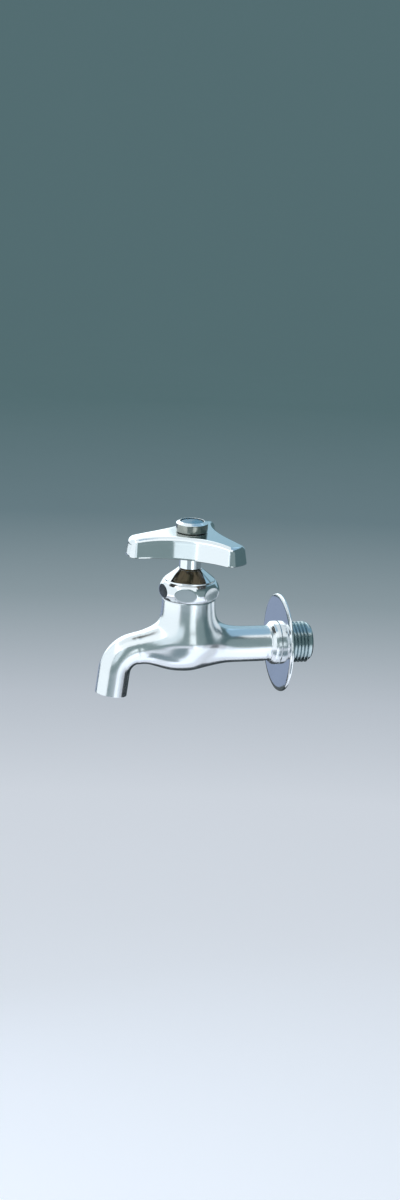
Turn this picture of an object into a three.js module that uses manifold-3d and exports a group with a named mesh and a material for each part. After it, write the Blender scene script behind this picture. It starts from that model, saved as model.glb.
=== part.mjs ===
// A wall-mounted bib tap with a plain curved spout, as an assembly of its separate pieces.
//
// Millimetres, +Z up. The origin is on the inlet axis, in the plane of the wall behind the flange.
// +Y points into the wall and -Y out into the room. The stem stands upright at y = STEM_Y.
// The tap is modelled closed: the washer is on its seat and the stem is screwed right down.

import * as THREE from "three";
import { mergeVertices } from "three/addons/utils/BufferGeometryUtils.js";
import Module from "manifold-3d";

// ---------------------------------------------------------------- driving dimensions

const STEM_Y = -49.5; // stem axis, measured from the wall plane
const GAP = 0.3; // clearance between neighbouring pieces

const BARREL_R = 13.5; // upright barrel
const BARREL_TOP = 25.5;
const BELLY_R = 12; // round bottom of the barrel
const TUBE_R = 8.95; // inlet tube
const TAPER = { r: 12.15, length: 24.6 }; // from the belly down to the inlet tube
const HORN = { r: 13.9, z: 1.7, fullness: 1.6 }; // root of the spout, and how long it stays wide below
const FRONT_BLEND = 2.1; // how widely the spout flows into the barrel
const BACK_BLEND = 3.7; // and the inlet tube
const BLEND_BELOW = 0.15; // share of the blends that is left under the inlet axis
const COLLAR_R = 11.1; // flare that stops the wall flange
const COLLAR_BACK = -2;

const SPOUT_R = 8.1;
const SPOUT_BORE_R = 5.9;
const SPOUT_BEND_R = 12.8;
const SPOUT_CORNER = new THREE.Vector2(-86, -0.6); // where the two straight runs would meet
const SPOUT_ENTRY_DEG = 2; // fall of the first run below the horizontal
const SPOUT_EXIT_DEG = 6.2; // lean of the outlet away from the wall
const SPOUT_OUTLET = 23.2; // corner to outlet face

const INLET_BORE_R = 6.6;
const PIPE_THREAD = { major: 10.48, minor: 9.32, pitch: 1.814, crest: 0.35, root: 1.45 };
const SHANK_END = 15.5;

const CHAMBER_R = 10; // chamber above the seat
const CHAMBER_TOP = 13.5;
const SEAT = { z: 0, bore: 5, rim: 6.6, plateTop: -0.8, plateBottom: -2.8 };

const NECK = { r: 10.9, top: 33 };
const NUT_THREAD = { major: 11.8, minor: 10.9, pitch: 1.5, crest: 0.35, root: 0.8 };
const NUT = { bottom: 25.8, shoulder: 35.6, top: 40.9, ring: 15.6, flats: 28.56, mouth: 4.6, turnDeg: -23 };

const STEM_R = 4.2;
const STEM_THREAD = { major: 6.5, minor: 5.3, pitch: 2.5, crest: 0.7, root: 1.2 };
const STEM = { bottom: 5.9, threadBottom: 9.5, threadTop: 27, shoulder: 47.5, top: 54 };
const SPLINE = { teeth: 18, tip: 4.0, root: 3.5 };
const JUMPER_PIN_R = 2.7;

const HANDLE = {
  bottom: 48.8,
  top: 60.1, // at the hub
  drop: 2.2, // how much lower the top is at the tips
  reach: 33.8, // hub to the end of a tip
  endR: 24, // round of a tip's end
  side: 7, // half the width of a tip, where its end meets its hollow sides
  waist: 15.7, // hub to the middle of a hollow side
  corner: 4.2, // rounding where they meet
  draft: 1, // how much the walls lean in towards the top
  edge: 3, // rounding between top and sides
  wall: 2.2,
  roof: 2.4,
  turnDeg: 2.5, // of the first wing, from the way the spout points
  bossR: 5.6,
  hubR: 8.6,
  bossBottom: 41.2,
};
const SCREW = { r: 1.95, head: 3.8, bottom: 56, top: 58.4, tip: 46 };
const CAP = { r: 8.1, bottom: 60.4, top: 65.6, skirtR: 6, skirtBottom: 56.6, hollowR: 4.8 };
const INDEX = { r: 5.8, bottom: 64.5, top: 65.4 };

const FLANGE = { r: 25, front: -1.7, sheet: 0.9, hole: 10.75, edge: 1.3 };

// ---------------------------------------------------------------- joining and cutting

const wasm = await Module();
wasm.setup();

// A closed three.js geometry as a manifold-3d solid. Facing is put right if the profile ran the other way.
function solid(geometry) {
  const plain = new THREE.BufferGeometry();
  plain.setAttribute("position", geometry.getAttribute("position"));
  plain.setIndex(geometry.index);
  const merged = mergeVertices(plain, 1e-4);
  const index = merged.index.array;
  const faces = [];
  for (let i = 0; i < index.length; i += 3) {
    const [a, b, c] = [index[i], index[i + 1], index[i + 2]];
    if (a !== b && b !== c && c !== a) faces.push(a, b, c);
  }
  const vertProperties = new Float32Array(merged.attributes.position.array);
  const make = (triVerts) =>
    new wasm.Manifold(new wasm.Mesh({ numProp: 3, vertProperties, triVerts: new Uint32Array(triVerts) }));
  const made = make(faces);
  return made.volume() < 0 ? make(faces.reverse()) : made;
}

function geometryOf(manifold) {
  const mesh = manifold.simplify(0.02).getMesh();
  const geometry = new THREE.BufferGeometry();
  geometry.setAttribute("position", new THREE.BufferAttribute(mesh.vertProperties, 3));
  geometry.setIndex(new THREE.BufferAttribute(mesh.triVerts, 1));
  const flat = geometry.toNonIndexed();
  flat.computeVertexNormals();
  return flat;
}

const cut = (first, ...others) => others.reduce((rest, other) => rest.subtract(other), first);
const join = (first, ...others) => others.reduce((whole, other) => whole.add(other), first);

// ---------------------------------------------------------------- shapes

const DIVISIONS = 36; // facets round a turned piece

// A piece turned about the Z axis from [radius, z] points. The profile touches the axis or closes on itself.
function turned(profile, divisions = DIVISIONS) {
  const points = profile.map(([r, z]) => new THREE.Vector2(r, z));
  return new THREE.LatheGeometry(points, divisions).rotateX(Math.PI / 2);
}

// The same about the Y axis, from [radius, y] points.
function turnedAlongY(profile, divisions = DIVISIONS) {
  const points = profile.map(([r, y]) => new THREE.Vector2(r, y));
  return new THREE.LatheGeometry(points, divisions);
}

const rod = (r, low, high, divisions) =>
  turned([[0, low], [r, low], [r, high], [0, high]], divisions);

const ring = (inner, outer, low, high, divisions) =>
  turned([[inner, low], [outer, low], [outer, high], [inner, high], [inner, low]], divisions);

// Points on a quarter round from one tangent direction to the other, about a centre, in degrees.
function arc(centreR, centreZ, radius, fromDeg, toDeg, steps) {
  return Array.from({ length: steps + 1 }, (_, i) => {
    const angle = THREE.MathUtils.degToRad(THREE.MathUtils.lerp(fromDeg, toDeg, i / steps));
    return [centreR + radius * Math.cos(angle), centreZ + radius * Math.sin(angle)];
  });
}

// A screw thread's ridge about the Z axis. It rises with a right-hand turn from height `from` to `to`.
// Where it crosses the +X axis, its middle is at from + whole pitches, so that mating threads can be phased.
function ridge({ inner, outer, innerWidth, outerWidth, pitch, from, to, steps = 16 }) {
  const section = [
    [inner, -innerWidth / 2],
    [outer, -outerWidth / 2],
    [outer, outerWidth / 2],
    [inner, innerWidth / 2],
  ];
  const count = Math.round(((to - from) / pitch) * steps);
  const positions = [];
  for (let i = 0; i <= count; i++) {
    const angle = (i / steps) * 2 * Math.PI;
    const rise = from + (i / steps) * pitch;
    for (const [r, z] of section) positions.push(r * Math.cos(angle), r * Math.sin(angle), rise + z);
  }
  const index = [0, 1, 2, 0, 2, 3];
  for (let i = 0; i < count; i++) {
    for (let k = 0; k < 4; k++) {
      const [a, b] = [i * 4 + k, i * 4 + ((k + 1) % 4)];
      index.push(a, a + 4, b + 4, a, b + 4, b);
    }
  }
  const last = count * 4;
  index.push(last, last + 2, last + 1, last, last + 3, last + 2);
  const geometry = new THREE.BufferGeometry();
  geometry.setAttribute("position", new THREE.Float32BufferAttribute(positions, 3));
  return geometry.setIndex(index);
}

// A male thread's ridge on a core of radius thread.minor.
const maleRidge = (thread, from, to, steps) =>
  ridge({
    inner: thread.minor - 0.4,
    outer: thread.major,
    innerWidth: thread.root,
    outerWidth: thread.crest,
    pitch: thread.pitch,
    from,
    to,
    steps,
  });

// The ridge inside a bore that mates with a male thread, `clearance` off it all round.
const femaleRidge = (thread, clearance, from, to, steps) =>
  ridge({
    inner: thread.minor + clearance,
    outer: thread.major + clearance + 0.3,
    innerWidth: thread.crest,
    outerWidth: thread.root,
    pitch: thread.pitch,
    from,
    to,
    steps,
  });

// A hexagonal prism, flats facing +X and -X, `across` the flats.
function hexagon(across, low, high) {
  const geometry = new THREE.CylinderGeometry(across / Math.sqrt(3), across / Math.sqrt(3), high - low, 6);
  return geometry.rotateX(Math.PI / 2).translate(0, 0, (low + high) / 2);
}

// A splined rod: tooth tips and roots on two circles, grown by `grow`.
function splined(low, high, grow = 0) {
  const shape = new THREE.Shape();
  for (let i = 0; i < SPLINE.teeth * 2; i++) {
    const r = (i % 2 ? SPLINE.root : SPLINE.tip) + grow;
    const angle = (i / SPLINE.teeth) * Math.PI;
    if (i) shape.lineTo(r * Math.cos(angle), r * Math.sin(angle));
    else shape.moveTo(r, 0);
  }
  const geometry = new THREE.ExtrudeGeometry(shape, { depth: high - low, bevelEnabled: false });
  return geometry.translate(0, 0, low);
}

// ---------------------------------------------------------------- the casting's outer form

// Distance to a limb that goes from one radius to another between two points of the y-z plane. Above the inlet
// axis it narrows evenly. Below it, a limb with a fullness narrows in a gentle S, for one smooth underside.
function limb(a, b, radiusA, radiusB, fullness = 0) {
  const [ay, az, by, bz] = [a.x, a.y, b.x, b.y];
  const length2 = (by - ay) ** 2 + (bz - az) ** 2;
  return (x, y, z) => {
    const along = ((y - ay) * (by - ay) + (z - az) * (bz - az)) / length2;
    const t = Math.min(1, Math.max(0, along));
    const off = Math.hypot(x, y - ay - t * (by - ay), z - az - t * (bz - az));
    const low = fullness ? 1 - THREE.MathUtils.smoothstep(z, -6, 3) : 0;
    const narrowed = t * (1 - low) + (low && low * THREE.MathUtils.smoothstep(t, 0, 1) ** fullness);
    return off - radiusA - narrowed * (radiusB - radiusA);
  };
}

// The spout's centre line in the y-z plane: a straight run, a round bend, and a straight run to the outlet.
function spoutLine() {
  const entry = THREE.MathUtils.degToRad(SPOUT_ENTRY_DEG);
  const exit = THREE.MathUtils.degToRad(SPOUT_EXIT_DEG);
  const inward = new THREE.Vector2(-Math.cos(entry), -Math.sin(entry));
  const outward = new THREE.Vector2(-Math.sin(exit), -Math.cos(exit));
  const turn = inward.angleTo(outward);
  const tangent = SPOUT_BEND_R * Math.tan(turn / 2);
  const start = SPOUT_CORNER.clone().addScaledVector(inward, -tangent);
  const end = SPOUT_CORNER.clone().addScaledVector(outward, tangent);
  const centre = start.clone().add(new THREE.Vector2(-inward.y, inward.x).multiplyScalar(SPOUT_BEND_R));
  const outlet = SPOUT_CORNER.clone().addScaledVector(outward, SPOUT_OUTLET);
  return { inward, outward, start, end, centre, outlet };
}

const spout = spoutLine();

// Distance to the round bend of the spout.
function bend(x, y, z) {
  const from = new THREE.Vector2(y, z).sub(spout.centre);
  const start = spout.start.clone().sub(spout.centre);
  const end = spout.end.clone().sub(spout.centre);
  const inside = start.cross(from) >= 0 && from.cross(end) >= 0;
  if (inside) return Math.hypot(x, from.length() - SPOUT_BEND_R) - SPOUT_R;
  const offset = Math.min(from.distanceTo(start), from.distanceTo(end));
  return Math.hypot(x, offset) - SPOUT_R;
}

const at = (y, z) => new THREE.Vector2(y, z);
const barrelLimbs = [
  limb(at(STEM_Y, 0), at(STEM_Y, 8), BELLY_R, BARREL_R),
  limb(at(STEM_Y, 8), at(STEM_Y, BARREL_TOP + 10), BARREL_R, BARREL_R),
];
const spoutLimbs = [
  limb(at(STEM_Y, HORN.z), spout.start, HORN.r, SPOUT_R, HORN.fullness),
  bend,
  limb(spout.end, spout.outlet.clone().addScaledVector(spout.outward, 5), SPOUT_R, SPOUT_R),
];
const inletLimbs = [
  limb(at(STEM_Y, 0), at(STEM_Y + TAPER.length, 0), TAPER.r, TUBE_R, 1),
  limb(at(STEM_Y + TAPER.length, 0), at(5, 0), TUBE_R, TUBE_R),
];

// The nearer of two distances, flowing from one to the other over a width.
const flowing = (a, b, width) => Math.min(a, b) - width * Math.log1p(Math.exp(-Math.abs(a - b) / width));

// Distance to the casting's outside. The limbs flow together mostly above the inlet axis: below it, the belly
// stays one round form.
function castingField(x, y, z) {
  const nearest = (limbs) => Math.min(...limbs.map((distance) => distance(x, y, z)));
  const blend = BLEND_BELOW + (1 - BLEND_BELOW) * THREE.MathUtils.smoothstep(z, -6, 5);
  const front = flowing(nearest(barrelLimbs), nearest(spoutLimbs), FRONT_BLEND * blend);
  return flowing(front, nearest(inletLimbs), BACK_BLEND * blend);
}

// A closed surface where the field is zero, over a grid of square cells: one vertex in each cell that the
// surface crosses, pulled onto the surface, and one quad round each grid edge that it crosses.
function surfaceOf(field, low, high, cell) {
  const counts = [0, 1, 2].map((k) => Math.ceil((high[k] - low[k]) / cell) + 1);
  const node = (i, j, k) => (i * counts[1] + j) * counts[2] + k;
  const values = new Float64Array(counts[0] * counts[1] * counts[2]);
  for (let i = 0; i < counts[0]; i++)
    for (let j = 0; j < counts[1]; j++)
      for (let k = 0; k < counts[2]; k++)
        values[node(i, j, k)] = field(low[0] + i * cell, low[1] + j * cell, low[2] + k * cell);

  const corners = Array.from({ length: 8 }, (_, c) => [c & 1, (c >> 1) & 1, (c >> 2) & 1]);
  const positions = [];
  const vertexOf = new Map();
  for (let i = 0; i < counts[0] - 1; i++)
    for (let j = 0; j < counts[1] - 1; j++)
      for (let k = 0; k < counts[2] - 1; k++) {
        const inside = corners.filter(([a, b, c]) => values[node(i + a, j + b, k + c)] < 0).length;
        if (inside === 0 || inside === 8) continue;
        let point = [low[0] + (i + 0.5) * cell, low[1] + (j + 0.5) * cell, low[2] + (k + 0.5) * cell];
        for (let pass = 0; pass < 4; pass++) point = pulled(field, point);
        vertexOf.set(node(i, j, k), positions.length / 3);
        positions.push(...point);
      }

  const index = [];
  const steps = [node(1, 0, 0), node(0, 1, 0), node(0, 0, 1)];
  for (let i = 1; i < counts[0] - 1; i++)
    for (let j = 1; j < counts[1] - 1; j++)
      for (let k = 1; k < counts[2] - 1; k++)
        for (let axis = 0; axis < 3; axis++) {
          const here = node(i, j, k);
          const [first, second] = [values[here] < 0, values[here + steps[axis]] < 0];
          if (first === second) continue;
          const [u, v] = [steps[(axis + 1) % 3], steps[(axis + 2) % 3]];
          const quad = [here - u - v, here - v, here, here - u].map((cornerCell) => vertexOf.get(cornerCell));
          if (second) quad.reverse();
          index.push(quad[0], quad[1], quad[2], quad[0], quad[2], quad[3]);
        }
  const geometry = new THREE.BufferGeometry();
  geometry.setAttribute("position", new THREE.Float32BufferAttribute(positions, 3));
  return geometry.setIndex(index);
}

// A point moved along the field's slope to where the field is zero.
function pulled(field, [x, y, z]) {
  const h = 0.01;
  const value = field(x, y, z);
  const ahead = [field(x + h, y, z), field(x, y + h, z), field(x, y, z + h)];
  const slope = ahead.map((next) => (next - value) / h);
  const scale = value / Math.max(0.2, slope[0] ** 2 + slope[1] ** 2 + slope[2] ** 2);
  return [x - slope[0] * scale, y - slope[1] * scale, z - slope[2] * scale];
}

// ---------------------------------------------------------------- body casting

// A box that keeps what lies beyond a face: everything with the given corner ranges.
function block(xRange, yRange, zRange) {
  const [w, d, h] = [xRange, yRange, zRange].map(([a, b]) => b - a);
  const [x, y, z] = [xRange, yRange, zRange].map(([a, b]) => (a + b) / 2);
  return new THREE.BoxGeometry(w, d, h).translate(x, y, z);
}

// The box beyond the spout's outlet face, which cuts the spout off square to its own line.
function beyondOutlet() {
  const size = 40;
  return new THREE.BoxGeometry(size, size, size)
    .translate(0, 0, -size / 2)
    .rotateX(-THREE.MathUtils.degToRad(SPOUT_EXIT_DEG))
    .translate(0, spout.outlet.x, spout.outlet.y);
}

function castingOutside() {
  const cell = 2.7;
  const skin = solid(surfaceOf(castingField, [-18.7, -104.3, -42.2], [18.9, 20, 55], cell));
  const body = cut(
    skin,
    solid(block([-30, 30], [-110, 20], [BARREL_TOP, 60])),
    solid(block([-30, 30], [COLLAR_BACK - 3, 30], [-30, 30])),
    solid(beyondOutlet()),
  );
  const collar = turnedAlongY([
    [0, -9],
    [TUBE_R - 0.1, -9],
    [TUBE_R, -6.9],
    [TUBE_R + 0.3, -6.1],
    [COLLAR_R - 0.8, -4.9],
    [COLLAR_R - 0.1, -4.1],
    [COLLAR_R, -3.5],
    [COLLAR_R, COLLAR_BACK],
    [PIPE_THREAD.minor, COLLAR_BACK],
    [PIPE_THREAD.minor, SHANK_END - 0.6],
    [PIPE_THREAD.minor - 0.6, SHANK_END],
    [0, SHANK_END],
  ]);
  const thread = maleRidge(PIPE_THREAD, 1.2, SHANK_END - 1.4).rotateX(-Math.PI / 2);
  const neck = rod(NECK.r, BARREL_TOP - 3, NECK.top).translate(0, STEM_Y, 0);
  const neckThread = maleRidge(NUT_THREAD, 26.5, NECK.top - 0.6).translate(0, STEM_Y, 0);
  return join(body, solid(collar), solid(thread), solid(neck), solid(neckThread));
}

// A round bore that follows the spout from the chamber to beyond the outlet.
function spoutBore() {
  const path = [at(STEM_Y - 3, 5.2), at(STEM_Y - 9, 5), at(STEM_Y - 15, 3.6), at(spout.start.x + 4, 0.8)];
  const steps = 5;
  const from = spout.start.clone().sub(spout.centre);
  const turn = from.angleTo(spout.end.clone().sub(spout.centre));
  for (let i = 0; i <= steps; i++) {
    path.push(from.clone().rotateAround(at(0, 0), (turn * i) / steps).add(spout.centre));
  }
  path.push(spout.outlet.clone().addScaledVector(spout.outward, 3));
  const points = path.map((point) => new THREE.Vector3(0, point.x, point.y));
  const curve = new THREE.CatmullRomCurve3(points, false, "centripetal");
  const circle = new THREE.Shape().absarc(0, 0, SPOUT_BORE_R, 0, 2 * Math.PI);
  return new THREE.ExtrudeGeometry(circle, { extrudePath: curve, steps: 18, curveSegments: 10 });
}

function castingBores() {
  const inner = STEM_Y + 13.5;
  const inlet = turnedAlongY([[0, inner], [INLET_BORE_R, inner], [INLET_BORE_R, 20], [0, 20]], 28);
  // The way from the inlet bore down under the seat is wide and low, to stay inside the belly.
  const underpass = new THREE.CylinderGeometry(3.2, 3.2, 13, 20)
    .scale(1.9, 1, 1)
    .rotateX(0.16)
    .translate(0, STEM_Y + 9.5, -5.6);
  const pit = solid(new THREE.SphereGeometry(10.4, 28, 16).translate(0, STEM_Y, 0));
  const pitLimits = solid(block([-20, 20], [STEM_Y - 8, STEM_Y + 20], [-20, SEAT.plateBottom]));
  const chamber = turned([
    [0, SEAT.plateTop],
    [CHAMBER_R, SEAT.plateTop],
    [CHAMBER_R, CHAMBER_TOP - 1.5],
    [CHAMBER_R - 1.5, CHAMBER_TOP],
    [0, CHAMBER_TOP],
  ]);
  const stemWay = turned([
    [0, CHAMBER_TOP - 1],
    [STEM_THREAD.major + 0.4, CHAMBER_TOP - 1],
    [STEM_THREAD.major + 0.4, 26],
    [7.3, 26.6],
    [7.3, 40],
    [0, 40],
  ]);
  return join(
    solid(inlet),
    solid(underpass),
    pit.intersect(pitLimits),
    solid(rod(SEAT.bore, SEAT.plateBottom - 1, SEAT.z + 3, 28).translate(0, STEM_Y, 0)),
    solid(chamber.translate(0, STEM_Y, 0)),
    solid(stemWay.translate(0, STEM_Y, 0)),
    solid(spoutBore()),
  );
}

function bodyCasting() {
  const seatRim = ring(SEAT.bore, SEAT.rim, SEAT.plateTop - 0.5, SEAT.z, 28).translate(0, STEM_Y, 0);
  // Half a pitch out of phase with the stem's thread, so that one runs in the other's groove.
  const from = STEM_THREAD.pitch * 6 + STEM_THREAD.pitch / 2;
  const stemThread = femaleRidge(
    { ...STEM_THREAD, crest: 0.6, root: 1.05 },
    GAP,
    from - STEM_THREAD.pitch,
    from + 3.2 * STEM_THREAD.pitch,
  ).translate(0, STEM_Y, 0);
  return join(cut(castingOutside(), castingBores()), solid(seatRim), solid(stemThread));
}

// ---------------------------------------------------------------- wall flange and gland

function wallFlange() {
  const { r, front, sheet, hole, edge } = FLANGE;
  return solid(
    turnedAlongY(
      [
        [hole, front],
        ...arc(r - edge, front + edge, edge, -90, 0, 5),
        [r, 0],
        [r - sheet, 0],
        ...arc(r - edge, front + edge, edge - sheet, 0, -90, 3),
        [hole, front + sheet],
        [hole, front],
      ],
      56,
    ),
  );
}

function capNut() {
  const { bottom, shoulder, top, ring: ringR, flats, mouth, turnDeg } = NUT;
  const bore = NUT_THREAD.major + 0.35;
  const outer = [
    [bore, bottom],
    [13.8, bottom],
    [14.6, bottom + 0.9],
    [15.3, bottom + 2.2],
    [ringR, bottom + 4],
    [15.3, bottom + 5.8],
    [14.4, bottom + 7.7],
    [13.6, shoulder - 1],
    [12.9, shoulder - 0.8],
    [12.9, shoulder],
    [6.3, top - 0.1],
    [6.1, top],
  ];
  const inner = [
    [mouth, top],
    [mouth, 40],
    [5.9, 39.9],
    [10.9, 35.2],
    [bore, 34.6],
    [bore, bottom],
  ];
  const blank = solid(turned([...outer, ...inner], 48));
  const sides = hexagon(flats, bottom - 1, top + 1).rotateZ(THREE.MathUtils.degToRad(turnDeg));
  const flatted = blank.intersect(solid(sides));
  const thread = solid(femaleRidge(NUT_THREAD, GAP, 26.5 + NUT_THREAD.pitch / 2, 33.2));
  const trimmed = thread.intersect(solid(ring(5, 12.4, bottom + 0.4, 34, 24)));
  return join(flatted, trimmed);
}

const packingRing = () => solid(ring(STEM_R + 0.35, 10.6, NECK.top + GAP, NECK.top + 1.9, 32));

function stemPacking() {
  const bottom = NECK.top + 2.2;
  return solid(
    turned(
      [
        [STEM_R + 0.1, bottom],
        [10.3, bottom],
        [10.3, bottom + 0.5],
        [6, bottom + 4.4],
        [STEM_R + 0.1, bottom + 4.4],
        [STEM_R + 0.1, bottom],
      ],
      32,
    ),
  );
}

// ---------------------------------------------------------------- stem and valve

function spindle() {
  const { bottom, threadBottom, threadTop, shoulder, top } = STEM;
  const core = solid(
    turned(
      [
        [0, bottom],
        [STEM_THREAD.minor - 0.5, bottom],
        [STEM_THREAD.minor, bottom + 0.5],
        [STEM_THREAD.minor, threadTop],
        [STEM_R, threadTop + 1.1],
        [STEM_R, shoulder],
        [0, shoulder],
      ],
      32,
    ),
  );
  // The thread starts a whole number of pitches above z = 0, which phases it with the casting's thread.
  const first = Math.ceil(threadBottom / STEM_THREAD.pitch) * STEM_THREAD.pitch;
  const thread = solid(maleRidge(STEM_THREAD, first, threadTop - 0.8));
  const spline = solid(splined(shoulder - 0.5, top));
  const jumperSocket = solid(rod(JUMPER_PIN_R + GAP, bottom - 1, 19, 20));
  const screwHole = solid(rod(SCREW.r + GAP, SCREW.tip - 1, top + 1, 16));
  return cut(join(core, thread, spline), jumperSocket, screwHole);
}

// A loose valve plate: its pin stands in the stem's socket, and its stud holds the washer.
function jumper() {
  return solid(
    turned(
      [
        [0, -3.4],
        [1.7, -3.4],
        [1.7, 3.2],
        [6.1, 3.2],
        [6.1, 2.6],
        [6.8, 2.6],
        [6.8, 5.1],
        [6.3, 5.6],
        [JUMPER_PIN_R, 5.6],
        [JUMPER_PIN_R, 17.4],
        [JUMPER_PIN_R - 0.6, 18],
        [0, 18],
      ],
      32,
    ),
  );
}

const tapWasher = () => solid(ring(2, 6.4, SEAT.z + GAP, 2.4, 32)).add(solid(ring(2, 5.8, 2, 2.9, 32)));

const washerNut = () => cut(solid(hexagon(6, -2.6, 0)), solid(rod(2, -4, 1, 20)));

// ---------------------------------------------------------------- handle

// One wing's share of the handle's outline, seen from above with the wing pointing along +X. It runs from the
// tip's round end, over the corner, along the hollow side to where the next wing begins.
function wingOutline(inset) {
  const { reach, endR, side, waist, corner } = HANDLE;
  const endAt = reach - endR;
  const edge = Math.hypot(endAt + Math.sqrt(endR * endR - side * side), side);
  const bearing = Math.PI / 3 - Math.asin(side / edge);
  // The hollow side is a circle through the edge of the tip that comes within `waist` of the hub.
  const span = 2 * edge * Math.cos(bearing);
  const hollowR = (waist * waist + edge * edge - waist * span) / (span - 2 * waist);
  const hollow = at(Math.cos(Math.PI / 3), Math.sin(Math.PI / 3)).multiplyScalar(waist + hollowR);
  // The corner's centre lies inside the end's circle and outside the side's.
  const round = Math.max(corner - inset, 0.2);
  const [toEnd, toSide] = [endR - inset - round, hollowR + inset + round];
  const between = hollow.clone().sub(at(endAt, 0));
  const turn = Math.acos((toEnd ** 2 + between.lengthSq() - toSide ** 2) / (2 * toEnd * between.length()));
  const endAngle = between.angle() - turn;
  const centre = at(endAt + toEnd * Math.cos(endAngle), toEnd * Math.sin(endAngle));
  const sideAngle = hollow.clone().sub(centre).angle();
  const away = centre.clone().sub(hollow).angle();
  const middle = Math.PI / 3 + Math.PI;

  const points = [];
  const sweep = (origin, r, from, to, steps, first = 0) => {
    for (let i = first; i < steps; i++) {
      const angle = THREE.MathUtils.lerp(from, to, i / steps);
      points.push(at(origin.x + r * Math.cos(angle), origin.y + r * Math.sin(angle)));
    }
  };
  sweep(at(centre.x, -centre.y), round, -sideAngle, -endAngle, 3);
  sweep(at(endAt, 0), endR - inset, -endAngle, endAngle, 8);
  sweep(centre, round, endAngle, sideAngle, 3);
  sweep(hollow, hollowR + inset, away, 2 * middle - away, 12);
  return points;
}

// A closed loop round the handle, `inset` from its outline at the bottom, scaled towards the hub. The dome of
// the top lowers it by `drop` at the tips.
function handleLoop(inset, z, scale = 1, domed = true) {
  const wing = wingOutline(inset);
  const points = [];
  for (let k = 0; k < 3; k++) {
    for (const point of wing) {
      const turn = THREE.MathUtils.degToRad(HANDLE.turnDeg - 90 + 120 * k);
      const p = point.clone().rotateAround(at(0, 0), turn).multiplyScalar(scale);
      const fall = domed ? HANDLE.drop * (p.length() / HANDLE.reach) ** 3 : 0;
      points.push(new THREE.Vector3(p.x, p.y, z - fall));
    }
  }
  return points;
}

// A closed body through a stack of loops, ended by a fan to a point over the hub at each end.
function lofted(loops) {
  const count = loops[0].length;
  const ends = [loops[0][0], loops.at(-1)[0]].map(() => new THREE.Vector3());
  ends[0].z = Math.max(...loops[0].map((p) => p.z));
  ends[1].z = Math.max(...loops.at(-1).map((p) => p.z));
  const positions = [...loops.flat(), ...ends].flatMap((p) => p.toArray());
  const index = [];
  for (let i = 0; i < count; i++) {
    const next = (i + 1) % count;
    for (let k = 0; k < loops.length - 1; k++) {
      const [a, b, c, d] = [k * count + i, k * count + next, (k + 1) * count + next, (k + 1) * count + i];
      index.push(a, b, c, a, c, d);
    }
    const last = (loops.length - 1) * count;
    index.push(loops.length * count, next, i);
    index.push(loops.length * count + 1, last + i, last + next);
  }
  const geometry = new THREE.BufferGeometry();
  geometry.setAttribute("position", new THREE.Float32BufferAttribute(positions, 3));
  return geometry.setIndex(index);
}

function handle() {
  const { bottom, top, draft, edge, wall, roof, bossR, hubR, bossBottom } = HANDLE;
  const inner = [
    ...[0.3, 0.65].map((scale) => handleLoop(wall + draft, top - roof, scale)),
    handleLoop(wall + draft, top - roof),
    handleLoop(wall, bottom, 1, false),
  ];
  const outer = [
    handleLoop(0.4, bottom, 1, false),
    handleLoop(0, bottom + 0.4, 1, false),
    ...[0, 30, 60, 90].map((degrees) => {
      const angle = THREE.MathUtils.degToRad(degrees);
      return handleLoop(draft + edge * (1 - Math.cos(angle)), top - edge * (1 - Math.sin(angle)));
    }),
    ...[0.65, 0.3].map((scale) => handleLoop(draft + edge, top, scale)),
  ];
  const shell = solid(lofted([...inner, ...outer]));
  // The boss widens inside the handle into a hub that holds the cap's skirt.
  const boss = solid(
    turned([
      [0, bossBottom],
      [bossR, bossBottom],
      [bossR, bottom + 3],
      [hubR, bottom + 5],
      [hubR, top - 1],
      [0, top - 1],
    ]),
  );
  const splineTop = STEM.top + GAP;
  return cut(
    join(shell, boss),
    solid(rod(STEM_R + GAP, bossBottom - 1, STEM.shoulder + GAP, 24)),
    solid(splined(STEM.shoulder, splineTop, GAP)),
    solid(rod(SCREW.r + GAP, splineTop - 1, top, 16)),
    solid(rod(CAP.skirtR + GAP, SCREW.bottom - GAP, top + 2, 32)),
  ).translate(0, STEM_Y, 0);
}

function handleScrew() {
  const { r, head, bottom, top, tip } = SCREW;
  const blank = solid(
    turned(
      [
        [0, tip],
        [r - 0.5, tip],
        [r, tip + 0.6],
        [r, bottom],
        [head, bottom],
        [head, bottom + 1],
        [head - 0.6, top - 0.6],
        [head - 1.8, top],
        [0, top],
      ],
      24,
    ),
  );
  const slot = (width, length) => solid(new THREE.BoxGeometry(width, length, 1.6).translate(0, 0, top));
  return cut(blank, slot(0.9, 4.2), slot(4.2, 0.9));
}

function indexCap() {
  const { r, bottom, top, skirtR, skirtBottom, hollowR } = CAP;
  return solid(
    turned([
      [hollowR, skirtBottom],
      [skirtR, skirtBottom],
      [skirtR, bottom],
      [r - 0.25, bottom],
      [r, bottom + 0.25],
      [r, top - 1.3],
      [r - 0.25, top - 0.8],
      [INDEX.r + 0.7, top],
      [INDEX.r + GAP, top],
      [INDEX.r + GAP, INDEX.bottom - GAP],
      [0, INDEX.bottom - GAP],
      [0, INDEX.bottom - 2],
      [hollowR, INDEX.bottom - 2],
      [hollowR, skirtBottom],
    ]),
  );
}

const indexPlate = () => solid(rod(INDEX.r, INDEX.bottom, INDEX.top, 32));

// ---------------------------------------------------------------- the assembly

const FINISH = {
  chrome: { color: 0xd5d9dc, metalness: 1, roughness: 0.08 },
  brass: { color: 0xc2a15a, metalness: 1, roughness: 0.3 },
  steel: { color: 0xa7a9ab, metalness: 1, roughness: 0.3 },
  rubber: { color: 0x1c1c1c, metalness: 0, roughness: 0.8 },
  blue: { color: 0x2f7fae, metalness: 0, roughness: 0.25 },
};

const atStem = (piece) => piece.translate(0, STEM_Y, 0);

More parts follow.
